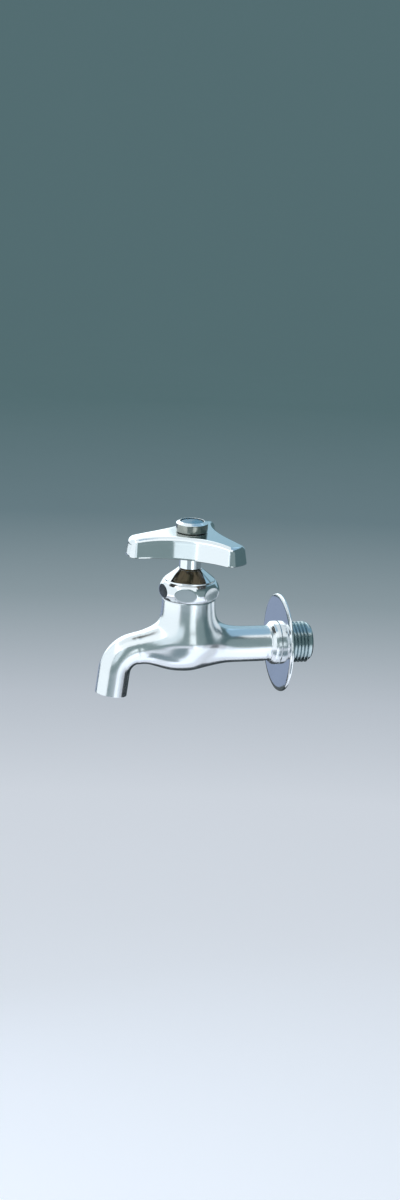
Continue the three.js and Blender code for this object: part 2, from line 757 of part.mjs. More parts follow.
const PIECES = [
  ["body_casting", bodyCasting(), "chrome"],
  ["wall_flange", wallFlange(), "chrome"],
  ["bonnet_nut", atStem(capNut()), "chrome"],
  ["packing_washer", atStem(packingRing()), "brass"],
  ["stem_packing", atStem(stemPacking()), "rubber"],
  ["spindle", atStem(spindle()), "brass"],
  ["valve_disc", atStem(jumper()), "brass"],
  ["valve_washer", atStem(tapWasher()), "rubber"],
  ["valve_washer_nut", atStem(washerNut()), "brass"],
  ["handle", handle(), "chrome"],
  ["handle_screw", atStem(handleScrew()), "steel"],
  ["index_cap", atStem(indexCap()), "chrome"],
  ["index_plate", atStem(indexPlate()), "blue"],
];

const group = new THREE.Group();
for (const [name, piece, finish] of PIECES) {
  const mesh = new THREE.Mesh(geometryOf(piece), new THREE.MeshStandardMaterial(FINISH[finish]));
  mesh.name = name;
  group.add(mesh);
}

export default group;
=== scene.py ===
"""A wall-mounted bib tap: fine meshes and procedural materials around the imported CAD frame.

Shapes are worked out in millimetres and turned into metres when a mesh is made. The origin is on the
inlet axis in the plane of the wall, +Y goes into the wall, +Z is up, and the stem stands at y = STEM_Y.
"""

import math

import bmesh
import bpy
import numpy as np
from mathutils import Matrix, Vector


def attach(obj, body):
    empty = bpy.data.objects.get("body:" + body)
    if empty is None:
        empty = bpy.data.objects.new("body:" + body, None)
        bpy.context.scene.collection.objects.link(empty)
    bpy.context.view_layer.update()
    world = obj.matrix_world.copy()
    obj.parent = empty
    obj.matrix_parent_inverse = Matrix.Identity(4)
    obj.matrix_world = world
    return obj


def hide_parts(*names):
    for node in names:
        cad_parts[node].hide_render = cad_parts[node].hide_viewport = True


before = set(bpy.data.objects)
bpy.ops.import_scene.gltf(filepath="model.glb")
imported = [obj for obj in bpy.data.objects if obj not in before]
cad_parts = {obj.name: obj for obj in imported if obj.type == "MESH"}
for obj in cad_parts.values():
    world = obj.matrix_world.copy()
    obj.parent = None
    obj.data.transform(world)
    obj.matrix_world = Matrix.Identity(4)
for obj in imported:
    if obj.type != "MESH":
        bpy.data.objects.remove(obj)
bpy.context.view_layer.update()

# ---- dimensions, in millimetres

MM = 0.001
STEM_Y = -49.5
GAP = 0.3  # clearance between neighbouring pieces
COARSE = 4  # spacing of points along profiles that need no detail
SHARP_ANGLE = math.radians(35)  # edges sharper than this aren't shaded smooth

BARREL_R, BARREL_TOP, BELLY_R = 13.5, 25.5, 12.0
TUBE_R, TAPER_R, TAPER_LENGTH = 8.95, 12.15, 24.6
HORN_R, HORN_Z = 13.9, 1.7
HORN_FULLNESS = 1.6  # how long the horn stays wide under the axis
FRONT_BLEND, BACK_BLEND = 2.1, 3.7
BLEND_BELOW = 0.15  # share of the blends that is left under the inlet axis
SOFT = 0.35  # rounding where a tapering limb becomes a straight one
BELOW_AXIS = -6  # height under which a limb has its full underside shape
CASTING_LOW, CASTING_HIGH = (-19, -101, -38), (19, 8, 40)  # the box that the limbs' surface is found in
CASTING_CELL = 0.8
CLOSING_R = 3  # radius of the polygons that close the casting's ends, which its bores cut away

SPOUT_R, SPOUT_BORE_R, SPOUT_BEND_R = 8.07, 5.9, 12.8
SPOUT_CORNER = np.array([-86.0, -0.6])
SPOUT_ENTRY, SPOUT_EXIT = math.radians(2.0), math.radians(6.2)
SPOUT_OUTLET = 23.2  # from the corner of the centre line to the outlet
OUTLET_LIP = 0.35  # rounding of the outlet's rim

INLET_BORE_R, COLLAR_R, COLLAR_BACK, SHANK_END = 6.6, 11.1, -2.0, 15.5
COLLAR_FROM = -9.0  # where the turned collar takes over from the blended casting
CHAMBER_R, CHAMBER_FLOOR, CHAMBER_ROOF = 10, -0.8, 13.5
SEAT_BORE_R, SEAT_R, SEAT_BOTTOM = 5, 6.6, -1.2
PIT_R, PIT_TOP = 10.2, -2.83  # the round hollow under the seat
PASSAGE_TILT, PASSAGE_HALF, PASSAGE_Y, PASSAGE_Z = 0.16, 6.5, 9.5, -5.6  # from the inlet bore to the pit
PASSAGE_R, PASSAGE_RISE = 6.08, 3.2
PIPE_THREAD = dict(major=10.48, minor=9.32, pitch=1.814, crest=0.3, root=1.45)
NUT_THREAD = dict(major=11.8, minor=10.9, pitch=1.5, crest=0.3, root=0.8)
STEM_THREAD = dict(major=6.5, minor=5.3, pitch=2.5, crest=0.7, root=1.2)
SCREW_THREAD = dict(minor=1.65, major=1.95, pitch=0.7, crest=0.1, root=0.5)
THREAD_CLEARANCE = 0.3

NECK_R, NECK_TOP, NECK_THREAD_FROM = 10.9, 33.0, 26.5
SHOULDER = 0.3  # depth of the step between the barrel and the neck
NUT_BOTTOM, NUT_TOP, NUT_FLATS, NUT_TURN = 25.8, 40.9, 28.56, math.radians(-23)
NUT_HOLE_R, CONE_TOP_R, FLATS_FROM_R = 4.6, 5.9, 13
FLAT_EDGE = 0.05  # rounding where a flat meets the ring
PACKING_R = 4.3
STEM_R, STEM_BODY_R, STEM_END = 4.2, 5.3, 5.9

HANDLE_BOTTOM, HANDLE_TOP, HANDLE_DROP, HANDLE_TURN = 48.8, 60.1, 2.2, math.radians(2.5)
HANDLE_REACH, TIP_END_R, TIP_SIDE, WAIST, TIP_CORNER = 33.8, 24.0, 7.0, 15.7, 4.2
HANDLE_DRAFT, HANDLE_EDGE, HANDLE_WALL, HANDLE_ROOF = 1.0, 3.0, 2.2, 2.4
BOSS_R, BOSS_BOTTOM, HUB_R = 5.6, 41.2, 8.6
STEM_TOP, SCREW_SEAT = 54.0, 56.0
SPLINE_FROM, SPLINE_TIP_R, SPLINE_ROOT_R = 47, 4.0, 3.5
SCREW_HOLE_R, SCREW_HEAD_R, SCREW_R = 2.25, 3.8, 1.75
DISC_R, PIN_R, WASHER_R = 6.8, 2.7, 6.4
SKIRT_R, SKIRT_BORE_R = 6, 4.8
CAP_R, CAP_BOTTOM, CAP_TOP, INDEX_R, INDEX_BOTTOM = 8.1, 60.4, 65.6, 5.8, 64.5

FLANGE_R, FLANGE_FRONT, FLANGE_HOLE_R = 25.0, -1.7, 10.75

# ---- profiles and solids of revolution


def turned(vector, angle):
    """A vector in a plane, turned by an angle."""
    c, s = math.cos(angle), math.sin(angle)
    return np.array([vector[0] * c - vector[1] * s, vector[0] * s + vector[1] * c])


def fillet(corners, steps=6, spacing=1.5):
    """A polyline through corners given as (r, z) or (r, z, radius), rounded where a radius is given.
    Long runs get further points, about spacing apart."""
    points = [np.array(corner[:2], float) for corner in corners]
    line = []
    for i, corner in enumerate(corners):
        radius = corner[2] if len(corner) > 2 else 0
        if not radius or i in (0, len(corners) - 1):
            line.append(points[i])
            continue
        before, after = points[i - 1] - points[i], points[i + 1] - points[i]
        before, after = before / np.linalg.norm(before), after / np.linalg.norm(after)
        half = math.acos(np.clip(before @ after, -1, 1)) / 2
        bisector = (before + after) / np.linalg.norm(before + after)
        centre = points[i] + bisector * radius / math.sin(half)
        start = points[i] + before * radius / math.tan(half) - centre
        end = points[i] + after * radius / math.tan(half) - centre
        sweep = math.atan2(start[0] * end[1] - start[1] * end[0], start @ end)
        line += [centre + turned(start, sweep * k / steps) for k in range(steps + 1)]
    dense = [line[0]]
    for point in line[1:]:
        gap = np.linalg.norm(point - dense[-1])
        pieces = max(1, int(gap / spacing))
        start = dense[-1]
        dense += [start + (point - start) * (k + 1) / pieces for k in range(pieces)]
    return np.array(dense)


def full_turn(divisions):
    """Evenly spaced angles round a circle."""
    return np.arange(divisions) * 2 * math.pi / divisions


def polar(radius, angle, height):
    """Points at radii and angles about Z and heights along it."""
    return np.stack(np.broadcast_arrays(radius * np.cos(angle), radius * np.sin(angle), height), axis=-1)


def revolve(profile, divisions=160, closed=False):
    """A profile of (r, z) turned about Z. Unless it is closed, it starts and ends on the axis."""
    radii = np.maximum(profile[:, :1], 0)
    return rings_mesh(polar(radii, full_turn(divisions), profile[:, 1:]), closed)


def rings_mesh(rings, closed=False):
    """Vertices, and quads between successive rings. Unless it is closed, a polygon caps each end."""
    count, divisions = rings.shape[:2]
    vertices = rings.reshape(-1, 3)
    index = np.arange(count * divisions).reshape(count, divisions)
    lower, upper = (index, np.roll(index, -1, axis=0)) if closed else (index[:-1], index[1:])
    quads = np.stack([lower, np.roll(lower, -1, 1), np.roll(upper, -1, 1), upper], axis=2)
    faces = quads.reshape(-1, 4).tolist()
    if not closed:
        faces += [index[0, ::-1].tolist(), index[-1].tolist()]
    return vertices, faces


def helix_ridge(minor, major, pitch, crest, root, start, end, sink=0.4, steps=72, female=False):
    """A right-hand thread's ridge about Z from height start to end, sunk into its core and fading in and
    out over a third of a turn."""
    count = int(round((end - start) / pitch * steps))
    turn = np.arange(count + 1) / steps
    fade = np.clip(np.minimum(turn, turn[-1] - turn) * 3, 0, 1)
    fade = fade * fade * (3 - 2 * fade)
    base, tip = (major + sink, minor) if female else (minor - sink, major)
    wall = base + (tip - base) * 0.25
    rising = [(base, -root / 2), (wall, -root / 2), (tip, -crest / 2)]
    section = rising + [(radius, -height) for radius, height in rising[::-1]]
    angle = turn * 2 * math.pi
    rings = []
    for radius, height in section:
        reach = base + (radius - base) * (0.3 + 0.7 * fade)
        rings.append(polar(reach, angle, start + turn * pitch + height))
    return rings_mesh(np.stack(rings, axis=1))


# ---- meshes and objects


def add_object(name, data):
    obj = bpy.data.objects.new(name, data)
    bpy.context.scene.collection.objects.link(obj)
    return obj


def add_bmesh(name, bm):
    """An object in the scene from a bmesh, which is used up."""
    mesh = bpy.data.meshes.new(name)
    bm.to_mesh(mesh)
    bm.free()
    return add_object(name, mesh)


def bmesh_of(vertices, faces):
    bm = bmesh.new()
    made = [bm.verts.new(vertex) for vertex in vertices]
    for face in faces:
        bm.faces.new([made[i] for i in face])
    return bm


def mesh_object(name, shape):
    """An object from (vertices, faces) in millimetres, faces turned outwards, ends merged."""
    vertices, faces = shape
    bm = bmesh_of([Vector(vertex) * MM for vertex in vertices.tolist()], faces)
    bmesh.ops.remove_doubles(bm, verts=bm.verts, dist=1e-7)
    bmesh.ops.dissolve_degenerate(bm, edges=bm.edges, dist=1e-8)
    bmesh.ops.recalc_face_normals(bm, faces=bm.faces)
    return add_bmesh(name, bm)


def boolean(obj, operation, *others):
    """Joins or cuts obj with other objects, which are used up."""
    for other in others:
        modifier = obj.modifiers.new("boolean", "BOOLEAN")
        modifier.operation = operation
        modifier.solver = "MANIFOLD"
        modifier.object = other
    bpy.context.view_layer.update()
    evaluated = obj.evaluated_get(bpy.context.evaluated_depsgraph_get())
    mesh = bpy.data.meshes.new_from_object(evaluated)
    old = obj.data
    obj.modifiers.clear()
    obj.data = mesh
    bpy.data.meshes.remove(old)
    for other in others:
        data = other.data
        bpy.data.objects.remove(other)
        bpy.data.meshes.remove(data)
    return obj


def stem_object(name, shape):
    """An object from a shape round Z, put on the stem's axis."""
    vertices, faces = shape
    return mesh_object(name, (vertices + [0, STEM_Y, 0], faces))


def inlet_object(name, shape):
    """An object from a shape round Z, laid on the inlet's axis."""
    vertices, faces = shape
    return mesh_object(name, (vertices[:, [0, 2, 1]] * [-1, 1, 1], faces))


def turned_tool(name, corners, divisions=64):
    """A turned solid on the stem's axis, to be used up in a boolean."""
    return stem_object(name, revolve(fillet(corners, spacing=COARSE), divisions))


def drill(name, radius, low, high, divisions=64):
    """A plain cylinder on the stem's axis, to be used up in a boolean."""
    return turned_tool(name, [(0, low), (radius, low), (radius, high), (0, high)], divisions)


def finish_piece(obj, material, body, slot):
    """Gives a piece its looks, the body that it rides on and the CAD node that it replaces. The slot is not
    used.
    """
    obj.data.materials.clear()
    obj.data.materials.append(material)
    obj.data.shade_smooth()
    obj.data.set_sharp_from_angle(angle=SHARP_ANGLE)
    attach(obj, body)
    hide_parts(obj.name.removesuffix("_fine"))


# ---- the casting's blended outside


def flowing(a, b, width):
    """The nearer of two distances, flowing from one to the other over a width."""
    return np.minimum(a, b) - width * np.log1p(np.exp(-np.abs(a - b) / width))


def soft_above(value, floor):
    """A value that levels out softly at a floor."""
    return floor + SOFT * np.log1p(np.exp(np.clip((value - floor) / SOFT, -40, 40)))


def smoothstep(value, low, high):
    """0 up to low, 1 from high, and a gentle S between them."""
    t = np.clip((value - low) / (high - low), 0, 1)
    return t * t * (3 - 2 * t)


def spout_line():
    """The straight runs and the bend of the spout's centre line, in the y-z plane."""
    inward = np.array([-math.cos(SPOUT_ENTRY), -math.sin(SPOUT_ENTRY)])
    outward = np.array([-math.sin(SPOUT_EXIT), -math.cos(SPOUT_EXIT)])
    turn = math.acos(inward @ outward)
    tangent = SPOUT_BEND_R * math.tan(turn / 2)
    start, end = SPOUT_CORNER - inward * tangent, SPOUT_CORNER + outward * tangent
    centre = start + np.array([-inward[1], inward[0]]) * SPOUT_BEND_R
    outlet = SPOUT_CORNER + outward * SPOUT_OUTLET
    return dict(inward=inward, outward=outward, start=start, end=end, centre=centre, outlet=outlet)


SPOUT = spout_line()
FAR = 1e3  # a distance that never counts


def to_segment(y, z, a, b):
    """Distance in the y-z plane to a segment, and the share of the way along it."""
    run = b - a
    t = np.clip(((y - a[0]) * run[0] + (z - a[1]) * run[1]) / (run @ run), 0, 1)
    return np.hypot(y - a[0] - t * run[0], z - a[1] - t * run[1]), t


def narrowed(t, z, fullness=1.0):
    """How far a limb has narrowed at a share t of its length: evenly above the axis, and in a gentle S
    below it, so that the underside is one smooth curve."""
    low = 1 - smoothstep(z, BELOW_AXIS, 3)
    return t * (1 - low) + smoothstep(t, 0, 1) ** fullness * low


def spout_distance(x, y, z):
    """Distance to the horn, which tapers to the spout, the spout's bend, and its straight run past the
    outlet, where it is cut later."""
    start, end, centre = SPOUT["start"], SPOUT["end"], SPOUT["centre"]
    off, t = to_segment(y, z, np.array([STEM_Y, HORN_Z]), start)
    radius = HORN_R + (SPOUT_R - HORN_R) * narrowed(t, z, HORN_FULLNESS)
    horn = np.hypot(x, off) - soft_above(radius, SPOUT_R)
    off, _ = to_segment(y, z, end, SPOUT["outlet"] + SPOUT["outward"] * 6)
    outlet = np.hypot(x, off) - SPOUT_R
    from_y, from_z = y - centre[0], z - centre[1]
    a, b = start - centre, end - centre
    within = (a[0] * from_z - a[1] * from_y >= 0) & (from_y * b[1] - from_z * b[0] >= 0)
    bend = np.where(within, np.hypot(x, np.hypot(from_y, from_z) - SPOUT_BEND_R) - SPOUT_R, FAR)
    return np.minimum(np.minimum(horn, outlet), bend)


def inlet_distance(x, y, z):
    """Distance to the inlet limb, a cone that runs out into the tube."""
    along = y - STEM_Y
    cone = TAPER_R + (TUBE_R - TAPER_R) * narrowed(np.maximum(along, 0) / TAPER_LENGTH, z)
    return np.hypot(np.hypot(x, z), np.minimum(along, 0)) - soft_above(cone, TUBE_R)


def barrel_distance(x, y, z):
    """Distance to the upright barrel with its round belly."""
    radius = BELLY_R + (BARREL_R - BELLY_R) * smoothstep(z, 0, 10)
    return np.hypot(np.hypot(x, y - STEM_Y), np.minimum(z, 0)) - radius


def casting_distance(points):
    """Distance to the three limbs, flowing into each other most widely above the inlet axis."""
    x, y, z = points[..., 0], points[..., 1], points[..., 2]
    blend = BLEND_BELOW + (1 - BLEND_BELOW) * smoothstep(z, BELOW_AXIS, 5)
    front = flowing(barrel_distance(x, y, z), spout_distance(x, y, z), FRONT_BLEND * blend)
    return flowing(front, inlet_distance(x, y, z), BACK_BLEND * blend)


def slope(distance, points, step=0.01):
    """How fast a distance grows along X, Y and Z."""
    rises = [distance(points + offset) - distance(points - offset) for offset in np.eye(3) * step]
    return np.stack(rises, axis=1) / (2 * step)


def onto_surface(distance, points, passes=4):
    """Points moved down the slope to where the distance is zero."""
    for _ in range(passes):
        gradient = slope(distance, points)
        points = points - gradient * (distance(points) / np.maximum((gradient**2).sum(1), 0.05))[:, None]
    return points


def surface_of(distance, low, high, cell, relaxing=8):
    """Quads on the surface where a distance is zero: a vertex in each grid cell that the surface crosses
    and a quad round each grid edge that it crosses. Then the vertices are evened out along the surface."""
    axes = [np.arange(a, b + cell, cell) for a, b in zip(low, high)]
    inside = casting_grid(distance, axes) < 0
    corners = inside.astype(int)
    for axis, size in enumerate(inside.shape):
        corners = corners.take(range(size - 1), axis) + corners.take(range(1, size), axis)
    crossed = (corners > 0) & (corners < 8)
    cells = np.argwhere(crossed)
    number = np.full(crossed.shape, -1)
    number[crossed] = np.arange(len(cells))
    points = np.array(low) + (cells + 0.5) * cell

    faces = []
    for axis in range(3):
        u, v = (axis + 1) % 3, (axis + 2) % 3
        first = inside.take(range(inside.shape[axis] - 1), axis)
        second = inside.take(range(1, inside.shape[axis]), axis)
        edges = np.argwhere(first != second)
        within = [(edges[:, w] > 0) & (edges[:, w] < inside.shape[w] - 1) for w in (u, v)]
        edges = edges[within[0] & within[1]]
        one_u, one_v = np.eye(3, dtype=int)[u], np.eye(3, dtype=int)[v]
        quad = [number[tuple((edges - shift).T)] for shift in (one_u + one_v, one_v, 0 * one_u, one_u)]
        faces.append(np.stack(quad, axis=1))
    faces = np.concatenate(faces)

    points = onto_surface(distance, points)
    pairs = np.concatenate([faces[:, [k, (k + 1) % 4]] for k in range(4)])
    for _ in range(relaxing):
        total, count = np.zeros_like(points), np.zeros(len(points))
        for a, b in ((0, 1), (1, 0)):
            np.add.at(total, pairs[:, a], points[pairs[:, b]])
            np.add.at(count, pairs[:, a], 1)
        points = onto_surface(distance, points * 0.4 + 0.6 * total / count[:, None], 2)
    return points, faces.tolist()


def casting_grid(distance, axes):
    """The distance at every point of a grid, one slab at a time to spare memory."""
    y, z = np.meshgrid(axes[1], axes[2], indexing="ij")
    return np.stack([distance(np.stack([np.full_like(y, x), y, z], axis=-1)) for x in axes[0]])


def axis_frame(axis):
    """Two directions that complete an axis to a right-handed frame."""
    axis = Vector(axis).normalized()
    across = axis.orthogonal().normalized()
    return axis, across, axis.cross(across)


def angle_round(vertex, origin, across, up):
    """A vertex's angle round an axis through the origin, from the across direction towards up."""
    offset = vertex.co - origin
    return math.atan2(offset.dot(up), offset.dot(across))


def cut_open(bm, origin, normal):
    """Cuts away what lies beyond a plane and returns the vertices of the cut, in order round the normal."""
    geometry = bm.verts[:] + bm.edges[:] + bm.faces[:]
    plane = dict(plane_co=origin, plane_no=normal, dist=1e-6)
    made = bmesh.ops.bisect_plane(bm, geom=geometry, clear_outer=True, **plane)
    loop = [item for item in made["geom_cut"] if isinstance(item, bmesh.types.BMVert)]
    _, across, up = axis_frame(normal)
    centre = Vector(origin)
    return sorted(loop, key=lambda vertex: angle_round(vertex, centre, across, up))


def turned_on(bm, loop, origin, normal, profile):
    """Goes on from an open round loop as a solid of revolution, through points of (radius, distance along
    the normal), and closes it at the last one."""
    axis, across, up = axis_frame(normal)
    origin = Vector(origin)
    angles = [angle_round(vertex, origin, across, up) for vertex in loop]
    spokes = [across * math.cos(angle) + up * math.sin(angle) for angle in angles]
    for radius, along in profile:
        ring = [bm.verts.new(origin + axis * along + spoke * radius) for spoke in spokes]
        for k in range(len(ring)):
            after = (k + 1) % len(ring)
            bm.faces.new([loop[k], loop[after], ring[after], ring[k]])
        loop = ring
    bm.faces.new(loop)


def casting_skin():
    """The casting's outside, closed: the blended limbs, and the outlet's end, the neck and the shank turned
    on where the limbs are cut."""
    points, faces = surface_of(casting_distance, CASTING_LOW, CASTING_HIGH, CASTING_CELL)
    bm = bmesh_of(points.tolist(), faces)
    bmesh.ops.recalc_face_normals(bm, faces=bm.faces)

    top_at, inlet_at = (0, STEM_Y, BARREL_TOP - SHOULDER), (0, COLLAR_FROM, 0)
    outlet_at = (0, *(SPOUT["outlet"] - SPOUT["outward"] * OUTLET_LIP))
    outward = (0, *SPOUT["outward"])
    top = cut_open(bm, top_at, (0, 0, 1))
    inlet = cut_open(bm, inlet_at, (0, 1, 0))
    outlet = cut_open(bm, outlet_at, outward)

    lip = fillet([(SPOUT_R, 0), (SPOUT_R, OUTLET_LIP, OUTLET_LIP * 0.9), (CLOSING_R, OUTLET_LIP)])
    turned_on(bm, outlet, outlet_at, outward, lip[1:])
    tall = NECK_TOP - BARREL_TOP + SHOULDER
    neck = [
        (BARREL_R, 0), (BARREL_R, SHOULDER, 0.2), (NECK_R, SHOULDER), (NECK_R, tall - 0.5),
        (NECK_R - 0.5, tall), (CLOSING_R, tall),
    ]
    turned_on(bm, top, top_at, (0, 0, 1), fillet(neck)[1:])
    core = PIPE_THREAD["minor"]
    shank = [
        (TUBE_R + 0.02, COLLAR_FROM), (TUBE_R + 0.02, -6.75, 0.6), (TUBE_R + 0.55, -6.3, 0.25),
        (TUBE_R + 0.75, -6.3, 0.2), (COLLAR_R - 0.15, -4.75, 0.5), (COLLAR_R, -3.6),
        (COLLAR_R, COLLAR_BACK), (core, COLLAR_BACK), (core, SHANK_END - 0.9),
        (core - 0.9, SHANK_END), (CLOSING_R, SHANK_END),
    ]
    shank = fillet(shank, spacing=0.6) - [0, COLLAR_FROM]
    turned_on(bm, inlet, inlet_at, (0, 1, 0), shank[1:])

    bmesh.ops.recalc_face_normals(bm, faces=bm.faces)
    bmesh.ops.scale(bm, vec=(MM, MM, MM), verts=bm.verts)
    return add_bmesh("body_casting_fine", bm)


def swept_tube(path, radius, divisions=64):
    """A round tube along points of the y-z plane, closed at its ends."""
    path = np.array(path)
    run = np.gradient(path, axis=0)
    run /= np.linalg.norm(run, axis=1)[:, None]
    side, rise = polar(radius, full_turn(divisions), 0)[:, :2].T
    rings = [[side, y - tz * rise, z + ty * rise] for (y, z), (ty, tz) in zip(path, run)]
    return rings_mesh(np.array(rings).transpose(0, 2, 1))


def hermite(start, start_run, end, end_run, t):
    """A point on the smooth curve that leaves start and reaches end along given runs."""
    leaving = (2 * t**3 - 3 * t**2 + 1) * start + (t**3 - 2 * t**2 + t) * start_run
    return leaving + (3 * t**2 - 2 * t**3) * end + (t**3 - t**2) * end_run


def spout_bore():
    """The spout's bore: level out of the chamber, round the bend and on past the outlet."""
    start, end, centre = SPOUT["start"], SPOUT["end"], SPOUT["centre"]
    begin = np.array([STEM_Y - 3, 5.2])
    reach = np.linalg.norm(start - begin)
    runs = np.array([-1.0, 0.0]) * reach, SPOUT["inward"] * reach
    shares = np.linspace(0, 1, 24, endpoint=False)
    lead = [hermite(begin, runs[0], start, runs[1], t) for t in shares]
    a, b = start - centre, end - centre
    turn = math.acos(a @ b / (SPOUT_BEND_R**2))
    arc = [centre + turned(a, t) for t in np.linspace(0, turn, 32, endpoint=False)]
    past = SPOUT["outlet"] + SPOUT["outward"] * 3
    straight = [end + (past - end) * t for t in np.linspace(0, 1, 12)]
    return swept_tube(lead + arc + straight, SPOUT_BORE_R)


def inlet_bore():
    """The inlet's bore, from the shank's bevelled end to just short of the chamber."""
    end, mouth_r, past = STEM_Y + 13.5, INLET_BORE_R + 0.9, SHANK_END + 2.5
    corners = [
        (0, end), (INLET_BORE_R, end, 2), (INLET_BORE_R, SHANK_END - 0.5), (mouth_r, SHANK_END + 0.4),
        (mouth_r, past), (0, past),
    ]
    return revolve(fillet(corners, spacing=COARSE))


def outlet_bevel():
    """The bevel inside the outlet's rim, made round Z and tilted to point out of the outlet."""
    mouth_r = SPOUT_BORE_R + 0.8
    corners = [(0, -2), (SPOUT_BORE_R, -2), (SPOUT_BORE_R, -0.4), (mouth_r, 0.4), (0, 0.4)]
    vertices, faces = revolve(fillet(corners, spacing=COARSE), 96)
    tilt = Matrix.Rotation(math.pi - SPOUT_EXIT, 3, "X")
    return vertices @ np.array(tilt.transposed()) + [0, *SPOUT["outlet"]], faces


def seat_passage():
    """The flat oval passage that slopes down from the inlet bore to the pit under the seat."""
    angle = full_turn(64)
    tilt = Matrix.Rotation(PASSAGE_TILT, 3, "X")
    rings = []
    for along in np.linspace(-PASSAGE_HALF, PASSAGE_HALF, 12):
        centre = tilt @ Vector((0, along, 0))
        y = STEM_Y + PASSAGE_Y + centre.y - 0.5 * np.sin(angle)
        z = PASSAGE_Z + centre.z + PASSAGE_RISE * np.sin(angle)
        rings.append(np.stack([PASSAGE_R * np.cos(angle), y, z], axis=1))
    return rings_mesh(np.array(rings))


def body_casting():
    """The casting with its bores, the seat's rim and its three threads."""
    chamber = [
        (0, CHAMBER_FLOOR), (CHAMBER_R, CHAMBER_FLOOR, 0.5), (CHAMBER_R, CHAMBER_ROOF, 1.5),
        (6.9, CHAMBER_ROOF), (6.9, 26.6), (7.3, 27), (7.3, 40), (0, 40),
    ]
    bowl = [(PIT_R * math.cos(a), PIT_R * math.sin(a)) for a in np.linspace(-1.45, -0.28, 14)]
    cutters = [
        inlet_object("cut_inlet", inlet_bore()),
        turned_tool("cut_chamber", chamber, 160),
        drill("cut_seat", SEAT_BORE_R, -4, 3, 96),
        mesh_object("cut_passage", seat_passage()),
        turned_tool("cut_pit", [(0, -PIT_R), *bowl, (0, PIT_TOP)], 96),
        mesh_object("cut_spout", spout_bore()),
        mesh_object("cut_mouth", outlet_bevel()),
    ]
    body = boolean(casting_skin(), "DIFFERENCE", *cutters)

    foot = (SEAT_BORE_R, SEAT_BOTTOM)
    rim = [foot, (SEAT_R, SEAT_BOTTOM), (SEAT_R, 0, 0.4), (SEAT_BORE_R, 0), foot]
    joined = [
        stem_object("seat_rim", revolve(fillet(rim, spacing=COARSE)[:-1], 96, closed=True)),
        inlet_object("pipe_thread", helix_ridge(**PIPE_THREAD, start=0.9, end=SHANK_END - 1.3)),
        stem_object("neck_thread", helix_ridge(**NUT_THREAD, start=NECK_THREAD_FROM, end=NECK_TOP - 0.8)),
        stem_object("stem_thread", female_thread(STEM_THREAD, STEM_THREAD["pitch"] * 5.5)),
    ]
    return boolean(body, "UNION", *joined)


def female_thread(thread, start):
    """Four turns of the ridge inside a bore that a male thread runs against."""
    ridge = {key: thread[key] + THREAD_CLEARANCE for key in ("minor", "major")}
    ridge |= dict(crest=thread["crest"] * 0.86, root=thread["root"] * 0.88, pitch=thread["pitch"])
    return helix_ridge(**ridge, start=start, end=start + 4 * thread["pitch"], female=True)


# ---- flange, nut and gland


def wall_flange():
    """A spun disc: a nearly flat face, a rolled rim and a hole that slips over the shank."""
    corners = [
        (FLANGE_HOLE_R, FLANGE_FRONT + 0.9), (FLANGE_HOLE_R, FLANGE_FRONT, 0.15),
        (22.9, FLANGE_FRONT + 0.1, 6), (24.75, FLANGE_FRONT + 0.45, 0.7), (FLANGE_R, -0.6, 0.5),
        (FLANGE_R, 0, 0.2), (24.1, 0, 0.2), (24.0, -0.5, 0.3), (22.4, -0.75, 1.5),
        (FLANGE_HOLE_R, FLANGE_FRONT + 0.9),
    ]
    profile = fillet(corners, spacing=0.8)[:-1]
    return inlet_object("wall_flange_fine", revolve(profile, 320, closed=True))


def cap_nut():
    """A barrel-shaped ring under a cone, with six flats where the ring would reach past them."""
    bore = NUT_THREAD["major"] + 0.35
    outer = [
        (bore, NUT_BOTTOM), (13.7, NUT_BOTTOM, 0.2), (14.95, 27.3, 2.5), (15.6, 29.8, 6),
        (14.98, 32.2, 4), (14.2, 33.6, 1.5), (13.5, 34.55, 0.5), (12.75, 34.8, 0.25),
        (12.8, 35.6, 0.35), (6.3, 40.8, 0.25), (CONE_TOP_R, NUT_TOP), (NUT_HOLE_R, NUT_TOP, 0.1),
    ]
    inner = [
        (NUT_HOLE_R, NUT_TOP), (NUT_HOLE_R, 40), (CONE_TOP_R, 39.9), (10.9, 35.2), (bore, 34.6),
        (bore, NUT_BOTTOM),
    ]
    profile = np.concatenate([fillet(outer, spacing=0.16), fillet(inner)[1:-1]])
    angles = full_turn(540)
    radius = profile[:, :1]
    reach = NUT_FLATS / 2 / np.cos(off_flat(angles - NUT_TURN))
    flatted = np.where(radius > FLATS_FROM_R, flowing(radius, reach, FLAT_EDGE), radius)
    rings = polar(flatted, angles, profile[:, 1:])
    nut = stem_object("bonnet_nut_fine", rings_mesh(rings, closed=True))
    ridge = female_thread(NUT_THREAD, NECK_THREAD_FROM + NUT_THREAD["pitch"] / 2)
    return boolean(nut, "UNION", stem_object("nut_thread", ridge))


def off_flat(angles):
    """How far angles are off the middle of the nearest of six flats."""
    return (angles + math.pi / 6) % (math.pi / 3) - math.pi / 6


def turned_piece(name, corners, divisions=128, spacing=1.5):
    """A small turned piece at the stem, from its corners. A ring's corners end where they start."""
    profile = fillet(corners, spacing=spacing)
    ring = corners[0] == corners[-1]
    if ring:
        profile = profile[:-1]
    return stem_object(name + "_fine", revolve(profile, divisions, ring))


def packing_washer():
    low, high = NECK_TOP + GAP, NECK_TOP + 1.9
    corners = [(4.55, low), (10.6, low, 0.2), (10.6, high, 0.2), (4.55, high), (4.55, low)]
    return turned_piece("packing_washer", corners)


def stem_packing():
    """A ring whose top is a cone, as the inside of the nut is."""
    low = NECK_TOP + 2.2
    corners = [
        (PACKING_R, low), (10.3, low, 0.3), (10.3, low + 0.5, 0.3), (6, low + 4.4, 0.4),
        (PACKING_R, low + 4.4), (PACKING_R, low),
    ]
    return turned_piece("stem_packing", corners)


# ---- stem, valve and handle


